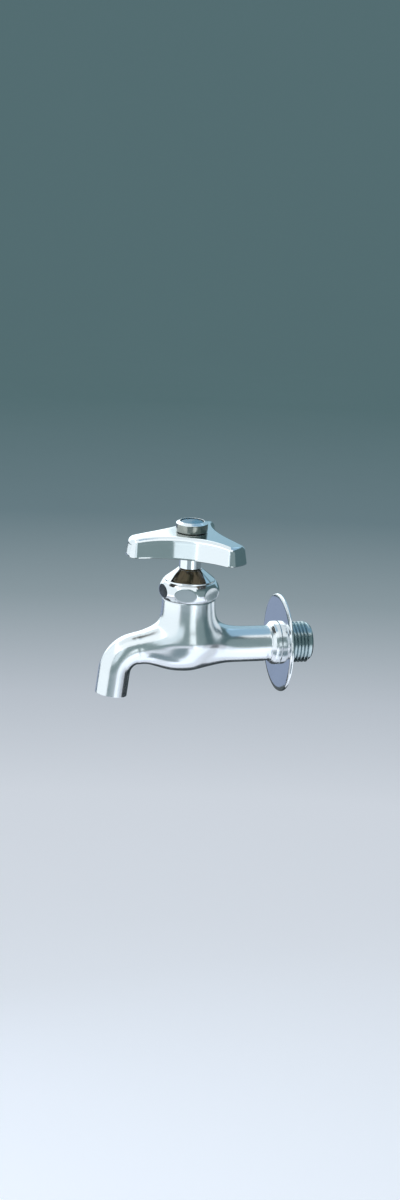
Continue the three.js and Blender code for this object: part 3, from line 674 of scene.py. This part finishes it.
def spline_rings(low, high, tip, root, teeth=18):
    """A toothed rod between two heights, its tooth flanks straight."""
    steps = 8
    angle = full_turn(teeth * steps)
    wave = np.abs(np.arange(teeth * steps) % steps - steps / 2) / (steps / 2)
    radius = root + (tip - root) * wave
    return rings_mesh(np.array([polar(radius, angle, height) for height in (low, high)]))


def spindle():
    """The stem with its lifting thread, the handle's spline, the disc's socket and the screw's hole."""
    bevel, top = 0.5, SPLINE_FROM + 0.5
    corners = [
        (0, STEM_END), (STEM_BODY_R - bevel, STEM_END), (STEM_BODY_R, STEM_END + bevel),
        (STEM_BODY_R, 27), (STEM_R, 28.1), (STEM_R, top, 0.2), (0, top),
    ]
    stem = turned_piece("spindle", corners)
    start = 4 * STEM_THREAD["pitch"]
    ridge = helix_ridge(**STEM_THREAD, start=start, end=start + 16.2)
    teeth = spline_rings(SPLINE_FROM, STEM_TOP, SPLINE_TIP_R, SPLINE_ROOT_R)
    boolean(stem, "UNION", stem_object("stem_ridge", ridge), stem_object("stem_teeth", teeth))
    socket = turned_tool("stem_socket", [(0, 4), (3, 4), (3, 18.4), (0, 19.4)])
    past = STEM_TOP + 1
    hole = turned_tool("stem_hole", [(0, 44), (SCREW_HOLE_R, 45), (SCREW_HOLE_R, past), (0, past)])
    return boolean(stem, "DIFFERENCE", socket, hole)


def valve_disc():
    """The disc that holds the washer in its rim, with a guide pin above and the nut's stud below."""
    corners = [
        (0, -3.4), (1.7, -3.4, 0.2), (1.7, 3.2), (6.1, 3.2), (6.1, 2.6), (DISC_R, 2.6, 0.1),
        (DISC_R, 5.1, 0.4), (DISC_R - 0.5, 5.6), (PIN_R, 5.6, 0.3), (PIN_R, 17.4, 0.5),
        (PIN_R - 0.6, 18), (0, 18),
    ]
    return turned_piece("valve_disc", corners)


def valve_washer():
    low, step, high = 0.3, 2.4, 2.9
    corners = [
        (2, low), (WASHER_R, low, 0.3), (WASHER_R, step, 0.2), (WASHER_R - 0.6, step),
        (WASHER_R - 0.6, high, 0.1), (2, high), (2, low),
    ]
    return turned_piece("valve_washer", corners)


def valve_washer_nut():
    """A hexagonal nut whose corners are turned off at both faces."""
    inscribed, angle = 3, full_turn(96)
    hexagon = inscribed / np.cos(off_flat(angle))
    limits = ((-2.6, inscribed), (-2.35, FAR), (-0.25, FAR), (0, inscribed))
    rings = np.array([polar(np.minimum(hexagon, limit), angle, height) for height, limit in limits])
    nut = stem_object("valve_washer_nut_fine", rings_mesh(rings))
    return boolean(nut, "DIFFERENCE", drill("nut_hole", 2, -4, 1, 48))


def wing_outline(inset):
    """One wing's share of the handle's outline, seen from above with the wing pointing along +X: the
    corner, the tip's round end, the other corner, and the hollow side to where the next wing begins."""
    end_at = HANDLE_REACH - TIP_END_R
    edge = math.hypot(end_at + math.sqrt(TIP_END_R**2 - TIP_SIDE**2), TIP_SIDE)
    bearing = math.pi / 3 - math.asin(TIP_SIDE / edge)
    span = 2 * edge * math.cos(bearing)
    hollow_r = (WAIST**2 + edge**2 - WAIST * span) / (span - 2 * WAIST)
    hollow = np.array([math.cos(math.pi / 3), math.sin(math.pi / 3)]) * (WAIST + hollow_r)
    corner = TIP_CORNER - inset
    to_end, to_side = TIP_END_R - inset - corner, hollow_r + inset + corner
    between = hollow - [end_at, 0]
    far = np.linalg.norm(between)
    turn = math.acos((to_end**2 + far**2 - to_side**2) / (2 * to_end * far))
    end_angle = math.atan2(between[1], between[0]) - turn
    centre = np.array([end_at + to_end * math.cos(end_angle), to_end * math.sin(end_angle)])
    side_angle = math.atan2(*(hollow - centre)[::-1])
    away = math.atan2(*(centre - hollow)[::-1]) % (2 * math.pi)
    middle = math.pi / 3 + math.pi

    def sweep(origin, radius, first, last, steps):
        angle = np.linspace(first, last, steps, endpoint=False)
        return np.asarray(origin) + polar(radius, angle, 0)[:, :2]

    arcs = [
        sweep(centre * [1, -1], corner, -side_angle, -end_angle, 26),
        sweep([end_at, 0], TIP_END_R - inset, -end_angle, end_angle, 16),
        sweep(centre, corner, end_angle, side_angle, 26),
        sweep(hollow, hollow_r + inset, away, 2 * middle - away, 72),
    ]
    return np.concatenate(arcs)


def handle_loop(inset, z, scale=1.0, domed=True):
    """A closed loop round the handle, moved in from its outline and scaled towards the hub. The dome of
    the top lowers it towards the tips."""
    wing = wing_outline(inset)
    loops = []
    for k in range(3):
        angle = HANDLE_TURN - math.pi / 2 + k * 2 * math.pi / 3
        c, s = math.cos(angle), math.sin(angle)
        loops.append(wing @ np.array([[c, s], [-s, c]]) * scale)
    loop = np.concatenate(loops)
    fall = HANDLE_DROP * (np.linalg.norm(loop, axis=1) / HANDLE_REACH) ** 3 if domed else 0
    return np.column_stack([loop, z - fall + np.zeros(len(loop))])


def handle_shell():
    """The hollow casting as one closed surface: the inside from its middle out, the rim, the outside up to
    the rounded edge, and the top back to the middle."""
    wall_foot, roof = HANDLE_BOTTOM + 0.3, HANDLE_TOP - HANDLE_ROOF
    loops = [handle_loop(HANDLE_WALL + HANDLE_DRAFT, roof, scale) for scale in np.linspace(0.02, 0.97, 14)]
    for t in np.linspace(0, 1, 8):
        height = wall_foot + (roof - 3 - HANDLE_BOTTOM) * (1 - t)
        loops.append(handle_loop(HANDLE_WALL + HANDLE_DRAFT * (1 - t), height, domed=False))
    for inset, lift in ((1.9, 0.06), (1.5, 0), (0.7, 0), (0.25, 0.1), (0.06, 0.3)):
        loops.append(handle_loop(inset, HANDLE_BOTTOM + lift, domed=False))
    shoulder = HANDLE_TOP - HANDLE_EDGE
    for t in np.linspace(0.06, 1, 12, endpoint=False):
        low = handle_loop(HANDLE_DRAFT * t, wall_foot, domed=False)
        high = handle_loop(HANDLE_DRAFT * t, shoulder)
        loops.append(low + (high - low) * [0, 0, t])
    for angle in np.radians(np.linspace(0, 90, 13)):
        inset = HANDLE_DRAFT + HANDLE_EDGE * (1 - math.cos(angle))
        loops.append(handle_loop(inset, shoulder + HANDLE_EDGE * math.sin(angle)))
    for scale in np.linspace(0.97, 0.02, 30):
        loops.append(handle_loop(HANDLE_DRAFT + HANDLE_EDGE, HANDLE_TOP, scale))
    return stem_object("handle_fine", rings_mesh(np.array(loops)))


def handle():
    """The hollow casting with its boss, toothed bore and counterbore."""
    shell = handle_shell()
    boss = [
        (0, BOSS_BOTTOM), (BOSS_R - 0.35, BOSS_BOTTOM), (BOSS_R, BOSS_BOTTOM + 0.35),
        (BOSS_R, HANDLE_BOTTOM + 3, 1), (HUB_R, HANDLE_BOTTOM + 5, 1), (HUB_R, HANDLE_TOP - 1),
        (0, HANDLE_TOP - 1),
    ]
    boolean(shell, "UNION", stem_object("boss", revolve(fillet(boss, spacing=1), 128)))
    teeth = spline_rings(SPLINE_FROM + 0.5, STEM_TOP + GAP, SPLINE_TIP_R + GAP, SPLINE_ROOT_R + GAP)
    bores = [
        drill("lower_bore", STEM_R + GAP, 40, 47.8),
        drill("upper_bore", SCREW_HOLE_R, 50, 58),
        stem_object("tooth_bore", teeth),
        drill("counterbore", SKIRT_R + GAP, SCREW_SEAT - GAP, 64, 96),
    ]
    return boolean(shell, "DIFFERENCE", *bores)


def handle_screw():
    """A round-headed screw with a cross of two slots."""
    end = SCREW_SEAT - 10
    corners = [
        (0, end), (SCREW_R - 0.25, end), (SCREW_R, end + 0.6), (SCREW_R, SCREW_SEAT),
        (SCREW_HEAD_R, SCREW_SEAT, 0.1), (SCREW_HEAD_R, SCREW_SEAT + 1, 0.5), (2, SCREW_SEAT + 2.4, 1),
        (0, SCREW_SEAT + 2.4),
    ]
    screw = turned_piece("handle_screw", corners, 96)
    ridge = helix_ridge(**SCREW_THREAD, start=end + 0.8, end=SCREW_SEAT - 0.6, sink=0.3, steps=36)
    boolean(screw, "UNION", stem_object("screw_thread", ridge))
    slots = []
    for width, length in ((0.9, 4.2), (4.2, 0.9)):
        corners = np.array([(-1, -1), (1, -1), (1, 1), (-1, 1)]) * [width / 2, length / 2]
        deep = np.column_stack([corners * 0.8, [SCREW_SEAT + 1.4] * 4])
        high = np.column_stack([corners, [SCREW_SEAT + 3.4] * 4])
        slots.append(stem_object("slot", rings_mesh(np.array([deep, high]))))
    return boolean(screw, "DIFFERENCE", *slots)


def index_cap():
    """A cup turned upside down: its skirt fits the counterbore and its top has a recess for the plate."""
    skirt = SCREW_SEAT + 0.6
    corners = [
        (SKIRT_BORE_R, skirt), (SKIRT_R, skirt, 0.2), (SKIRT_R, CAP_BOTTOM),
        (CAP_R - 0.25, CAP_BOTTOM, 0.1), (CAP_R, CAP_BOTTOM + 0.3, 0.2), (CAP_R, CAP_TOP - 0.95, 0.45),
        (INDEX_R + 0.6, CAP_TOP, 0.3), (INDEX_R + GAP, CAP_TOP, 0.1),
        (INDEX_R + GAP, INDEX_BOTTOM - GAP), (0, INDEX_BOTTOM - GAP),
    ]
    inside = [(0, INDEX_BOTTOM - 2), (SKIRT_BORE_R, INDEX_BOTTOM - 2), (SKIRT_BORE_R, skirt)]
    profile = np.concatenate([fillet(inside, spacing=1), fillet(corners, spacing=0.5)])
    return stem_object("index_cap_fine", revolve(profile, 224))


def index_plate():
    """A slightly domed disc."""
    low = INDEX_BOTTOM
    rim = [(INDEX_R, low, 0.1), (INDEX_R, low + 0.6, 0.3), (INDEX_R - 0.5, low + 0.75, 0.6)]
    return turned_piece("index_plate", [(0, low), *rim, (0, low + 0.9)], 192, spacing=0.6)


# ---- materials


class Nodes:
    """A material's node tree with a Principled shader, and short ways to add what drives it."""

    def __init__(self, name):
        self.material = bpy.data.materials.new(name)
        self.material.use_nodes = True
        self.tree = self.material.node_tree
        self.shader = self.tree.nodes["Principled BSDF"]
        coordinates = self.tree.nodes.new("ShaderNodeTexCoord")
        self.position = coordinates.outputs["Object"]

    def add(self, kind, inputs=(), **settings):
        node = self.tree.nodes.new(kind)
        for key, value in settings.items():
            setattr(node, key, value)
        for key, value in dict(inputs).items():
            if isinstance(value, bpy.types.NodeSocket):
                self.tree.links.new(value, node.inputs[key])
            else:
                node.inputs[key].default_value = value
        return node

    def noise(self, scale, detail=3.0, roughness=0.5, stretch=(1, 1, 1)):
        mapping = self.add("ShaderNodeMapping", {"Vector": self.position, "Scale": stretch})
        inputs = {"Vector": mapping.outputs[0], "Scale": scale, "Detail": detail, "Roughness": roughness}
        return self.add("ShaderNodeTexNoise", inputs).outputs["Fac"]

    def ranged(self, value, low, high, from_low=0.3, from_high=0.7):
        inputs = {"Value": value, "From Min": from_low, "From Max": from_high}
        inputs |= {"To Min": low, "To Max": high}
        return self.add("ShaderNodeMapRange", inputs, clamp=True).outputs[0]

    def ramp(self, value, *stops):
        node = self.add("ShaderNodeValToRGB", {"Fac": value})
        elements = node.color_ramp.elements
        while len(elements) < len(stops):
            elements.new(0.5)
        for element, (position, colour) in zip(elements, stops):
            element.position = position
            element.color = (*colour, 1)
        return node.outputs["Color"]

    def drive(self, socket, value):
        self.tree.links.new(value, self.shader.inputs[socket])

    def bump(self, height, strength, distance, **under):
        inputs = {"Height": height, "Strength": strength, "Distance": distance, **under}
        return self.add("ShaderNodeBump", inputs).outputs["Normal"]


def chrome(name, tint=(0.80, 0.82, 0.84), haze=(0.07, 0.13), waviness=0.04, dull_or_painted_shade=None):
    """Bright plating: nearly a mirror, with faint polishing waves and hazy finger marks. Where the plating
    is thin or grimy (the bare thread), and where painted shade darkens it (sides and undersides that face
    away from the light), the last argument gives what tells the place ("facing" or "at"), the axis, the
    two values between which the plating turns bright, and the dull or shaded colour."""
    n = Nodes(name)
    n.shader.inputs["Metallic"].default_value = 1.0
    # the thread's dull plating by position, and painted shade by which way a face looks: the cap's sides,
    # the handle's undersides
    if dull_or_painted_shade:
        source, axis, dark_end, bright, colour = dull_or_painted_shade
        vector = n.position if source == "at" else n.add("ShaderNodeNewGeometry").outputs["Normal"]
        value = n.add("ShaderNodeSeparateXYZ", {0: vector}).outputs[axis]
        n.drive("Base Color", n.ramp(n.ranged(value, 0, 1, dark_end, bright), (0, colour), (1, tint)))
    else:
        marks = n.noise(55, 4, 0.6)
        n.drive("Base Color", n.ramp(marks, (0.3, tint), (0.7, tuple(c * 0.94 for c in tint))))
    n.drive("Roughness", n.ranged(n.noise(140, 5, 0.65), *haze))
    broad = n.bump(n.noise(90, 1, 0.4), waviness, 0.0002)
    n.drive("Normal", n.bump(n.noise(2600, 2, 0.5), 0.02, 0.00003, Normal=broad))
    return n.material


def turned_metal(name, colour, roughness):
    """Turned brass or steel: fine tool marks round the stem's axis and slight tarnish."""
    n = Nodes(name)
    n.shader.inputs["Metallic"].default_value = 1.0
    tarnish = n.noise(120, 5, 0.6)
    n.drive("Base Color", n.ramp(tarnish, (0.35, colour), (0.75, tuple(c * 0.72 for c in colour))))
    n.drive("Roughness", n.ranged(tarnish, roughness, roughness + 0.16))
    marks = n.noise(900, 2, 0.5, stretch=(0.15, 0.15, 4))
    n.drive("Normal", n.bump(marks, 0.25, 0.00008))
    return n.material


def rubber():
    """Moulded black rubber with a fine grain and a dusty bloom."""
    n = Nodes("rubber")
    bloom = n.noise(180, 5, 0.7)
    n.drive("Base Color", n.ramp(bloom, (0.3, (0.018, 0.018, 0.019)), (0.8, (0.05, 0.05, 0.052))))
    n.drive("Roughness", n.ranged(bloom, 0.62, 0.85))
    n.drive("Normal", n.bump(n.noise(3200, 3, 0.6), 0.2, 0.00005))
    return n.material


def blue_index():
    """A blue moulded index plate under a clear gloss."""
    n = Nodes("blue_index")
    cloud = n.noise(160, 4, 0.55)
    n.drive("Base Color", n.ramp(cloud, (0.3, (0.012, 0.12, 0.21)), (0.7, (0.02, 0.16, 0.27))))
    n.drive("Roughness", n.ranged(n.noise(500, 3, 0.6), 0.12, 0.24))
    n.shader.inputs["Specular IOR Level"].default_value = 0.2
    n.shader.inputs["Coat Weight"].default_value = 0.1
    n.shader.inputs["Coat Roughness"].default_value = 0.06
    n.drive("Normal", n.bump(n.noise(2400, 2, 0.5), 0.05, 0.00004))
    return n.material


# ---- camera, stage and light

AZIMUTH, ELEVATION, ROLL = math.radians(73.2), math.radians(15.5), math.radians(2.6)
DISTANCE = 2.5  # metres from the stem to the camera
FRAME_HEIGHT = 0.6096  # metres of the stem's plane that the picture's height takes in
AIM = (0.0068, 0.0232)  # metres from the stem's foot to the middle of the picture, right and up
SENSOR = 36  # millimetres

FLOOR, LIT_HEIGHT = -0.5, 0.02  # metres: the floor's height, and that of a light lying above it
STAGE_R, STAGE_CURVE = 3600, 900  # millimetres
PAPER_NEAR, PAPER_FAR = 1.3, 2.66  # metres from the middle between which the paper darkens
PAPER_GLOW = 0.86
PAPER_COLOURS = (
    (0, (0.576, 0.585, 0.631)),
    (0.2, (0.460, 0.478, 0.523)),
    (0.43, (0.248, 0.294, 0.321)),
    (0.65, (0.131, 0.185, 0.208)),
    (1, (0.086, 0.142, 0.153)),
)
ROOM_COLOUR, ROOM_STRENGTH = (0.14, 0.19, 0.20), 0.6


def heading(degrees):
    """The level direction at a bearing to the right of the camera's, as seen from the stem."""
    bearing = AZIMUTH + math.radians(degrees)
    return Vector((math.sin(bearing), -math.cos(bearing), 0))


def camera():
    """The camera looks from AZIMUTH and ELEVATION, turned by ROLL about its line of sight."""
    towards = heading(0) * math.cos(ELEVATION) + Vector((0, 0, math.sin(ELEVATION)))
    level = heading(90)
    upright = towards.cross(level)
    right = level * math.cos(ROLL) + upright * math.sin(ROLL)
    up = upright * math.cos(ROLL) - level * math.sin(ROLL)
    aim = Vector((0, STEM_Y * MM, 0)) + right * AIM[0] + up * AIM[1]
    data = bpy.data.cameras.new("camera")
    data.sensor_fit = "VERTICAL"
    data.sensor_height = SENSOR
    data.lens = SENSOR * DISTANCE / FRAME_HEIGHT
    obj = add_object("camera", data)
    rotation = Matrix((right, up, towards)).transposed().to_4x4()
    obj.matrix_world = Matrix.Translation(aim + towards * DISTANCE) @ rotation
    bpy.context.scene.camera = obj


def paper():
    """Paper with a light of its own, which darkens away from the middle."""
    n = Nodes("paper")
    flat = n.add("ShaderNodeVectorMath", {0: n.position, 1: (1, 1, 0)}, operation="MULTIPLY").outputs[0]
    away = n.add("ShaderNodeVectorMath", {0: flat}, operation="LENGTH").outputs["Value"]
    colour = n.ramp(n.ranged(away, 0, 1, PAPER_NEAR, PAPER_FAR), *PAPER_COLOURS)
    n.drive("Base Color", colour)
    n.drive("Emission Color", colour)
    n.shader.inputs["Emission Strength"].default_value = PAPER_GLOW
    n.drive("Roughness", n.ranged(n.noise(6, 4, 0.6), 0.75, 0.95))
    return n.material


def stage():
    """A pale floor that curves up into a backdrop all round."""
    floor = FLOOR / MM
    corners = [(0, floor), (STAGE_R, floor, STAGE_CURVE), (STAGE_R, STAGE_R)]
    profile = fillet(corners, steps=24, spacing=150)[1:]
    vertices, faces = rings_mesh(polar(profile[:, :1], full_turn(96), profile[:, 1:]))
    obj = mesh_object("backdrop", (vertices, faces[:-1]))
    obj.data.shade_smooth()
    obj.data.materials.append(paper())


def upright(bearings, elevations, distance):
    """Where an upright sheet goes that fills ranges of bearings and elevations, in degrees, seen from the
    stem: its centre, axes and size."""
    away, up = heading(sum(bearings) / 2), Vector((0, 0, 1))
    width = 2 * distance * math.tan(math.radians(bearings[1] - bearings[0]) / 2)
    low, high = (distance * math.tan(math.radians(angle)) for angle in elevations)
    centre = Vector((0, STEM_Y * MM, (low + high) / 2)) + away * distance
    return centre, (up.cross(away), up, away), (width, high - low)


def level(across, along, height):
    """Where a level sheet goes, between two reaches to the right of the stem and two towards the camera."""
    right, towards = heading(90), heading(0)
    centre = Vector((0, STEM_Y * MM, height)) + right * sum(across) / 2 + towards * sum(along) / 2
    away = Vector((0, 0, math.copysign(1, height)))
    return centre, (right, away.cross(right), away), (across[1] - across[0], along[1] - along[0])


def window(name, place, radiance, colour):
    """A rectangular light of a stated brightness, which the camera doesn't see."""
    centre, axes, size = place
    data = bpy.data.lights.new(name, "AREA")
    data.shape = "RECTANGLE"
    data.size, data.size_y = size
    data.energy = radiance * math.pi * size[0] * size[1]
    data.color = colour
    obj = add_object(name, data)
    obj.matrix_world = Matrix.Translation(centre) @ Matrix(axes).transposed().to_4x4()
    obj.visible_camera = False


def card(name, place, tone=(0.018, 0.026, 0.028)):
    """A rectangle of matt cloth that only reflections see."""
    centre, axes, size = place
    half = [axes[0] * size[0] / 2, axes[1] * size[1] / 2]
    corners = [centre + half[0] * x + half[1] * y for x, y in ((-1, -1), (1, -1), (1, 1), (-1, 1))]
    mesh = bpy.data.meshes.new(name)
    mesh.from_pydata(corners, [], [(0, 1, 2, 3)])
    cloth = Nodes(name)
    dark_end = tuple(channel * 0.6 for channel in tone)
    cloth.drive("Base Color", cloth.ramp(cloth.noise(90, 3), (0.3, dark_end), (0.7, tone)))
    mesh.materials.append(cloth.material)
    obj = add_object(name, mesh)
    obj.visible_camera = obj.visible_diffuse = obj.visible_shadow = False


def lights():
    """Windows and cards where the plating mirrors light and dark, and a dim room."""
    window("left", upright((-124, -33), (-26, 52), 0.7), 1.0, (0.93, 0.97, 1.0))
    window("left_back", upright((-166, -134), (-30, -8), 0.8), 0.46, (0.56, 0.70, 1.0))
    window("left_back_high", upright((-178, -124), (-6, 50), 0.8), 0.95, (0.90, 0.96, 1.0))
    window("middle_high", upright((-33, -10), (4.2, 40), 0.3), 0.85, (0.86, 0.95, 1.0))
    window("middle_low", upright((-33, 19), (-38, -9), 0.95), 0.16, (0.82, 0.95, 1.0))
    window("right_high", upright((-10, 68), (3, 40), 0.97), 0.16, (0.84, 0.96, 0.94))
    window("right_dim", upright((-33, 68), (-9, 3), 0.95), 0.17, (0.84, 0.96, 0.94))
    window("right_near", upright((9, 33), (-4.5, 13.5), 0.15), 0.95, (0.93, 0.98, 1.0))
    window("right_low", upright((19, 43), (-38, -9), 0.75), 0.8, (0.90, 0.97, 1.0))
    window("right_fade", upright((43, 60), (-38, -9), 0.75), 0.40, (0.80, 0.92, 1.0))
    window("back_left", upright((180, 222), (4, 50), 0.95), 0.85, (0.86, 0.96, 1.0))
    window("back_right", upright((138, 180), (4, 50), 0.95), 0.50, (0.52, 0.80, 1.0))
    window("front_top", level((-0.8, 0.5), (0.2, 0.9), 0.8), 1.1, (0.93, 0.98, 1.0))
    window("top_left", level((-0.8, 0.0), (-0.7, 0.2), 0.8), 0.95, (0.90, 0.97, 1.0))
    window("top_right", level((0.0, 0.8), (-0.7, 0.2), 0.8), 0.55, (0.42, 0.72, 1.0))
    window("front_floor", level((-0.05, 0.7), (0.05, 0.58), FLOOR + LIT_HEIGHT), 0.4, (0.86, 0.95, 1.0))
    card("card_below", level((-0.24, 0.35), (-0.62, -0.07), -0.2))
    card("card_front", level((-0.35, 0.055), (0.16, 0.5), -0.3), (0.36, 0.44, 0.48))
    card("card_right", upright((82, 132), (-34, -11.3), 0.5))
    card("card_left", upright((-168, -130), (-34, -7), 0.85))
    world = bpy.data.worlds.new("studio")
    bpy.context.scene.world = world
    world.use_nodes = True
    background = world.node_tree.nodes["Background"]
    background.inputs["Color"].default_value = (*ROOM_COLOUR, 1)
    background.inputs["Strength"].default_value = ROOM_STRENGTH


# ---- the scene

CHROME = chrome("chrome")
BODY_CHROME = chrome("body_chrome", haze=(0.17, 0.23), dull_or_painted_shade=("at", "Y", 0.0006, 0.0004, (0.42, 0.50, 0.52)))
# partly bare casting, partly painted shade: faces that look down, inside the hollow and under the rim, turn
# dark brown
HANDLE_CHROME = chrome("handle_chrome", dull_or_painted_shade=("facing", "Z", -0.75, -0.6, (0.13, 0.10, 0.06)))
# painted shade: the cap's sides and underside are darkened to grey, its top stays bright
CAP_CHROME = chrome("cap_chrome", haze=(0.16, 0.24), dull_or_painted_shade=("facing", "Z", 0.15, 0.4, (0.33, 0.34, 0.31)))
BRASS = turned_metal("brass", (0.72, 0.52, 0.24), 0.22)
STEEL = turned_metal("steel", (0.6, 0.61, 0.62), 0.24)
RUBBER, BLUE = rubber(), blue_index()

PIECES = [
    (body_casting, BODY_CHROME, "tap_body", "chrome"),
    (wall_flange, CHROME, "tap_body", "chrome"),
    (cap_nut, CHROME, "tap_body", "chrome"),
    (packing_washer, BRASS, "tap_body", "brass"),
    (stem_packing, RUBBER, "tap_body", "rubber"),
    (spindle, BRASS, "stem_and_handle", "brass"),
    (valve_disc, BRASS, "valve", "brass"),
    (valve_washer, RUBBER, "valve", "rubber"),
    (valve_washer_nut, BRASS, "valve", "brass"),
    (handle, HANDLE_CHROME, "stem_and_handle", "chrome"),
    (handle_screw, STEEL, "stem_and_handle", "steel"),
    (index_cap, CAP_CHROME, "stem_and_handle", "chrome"),
    (index_plate, BLUE, "stem_and_handle", "blue"),
]

bpy.context.scene.view_settings.view_transform = "Standard"
camera()
stage()
lights()
for make, material, body, slot in PIECES:
    finish_piece(make(), material, body, slot)
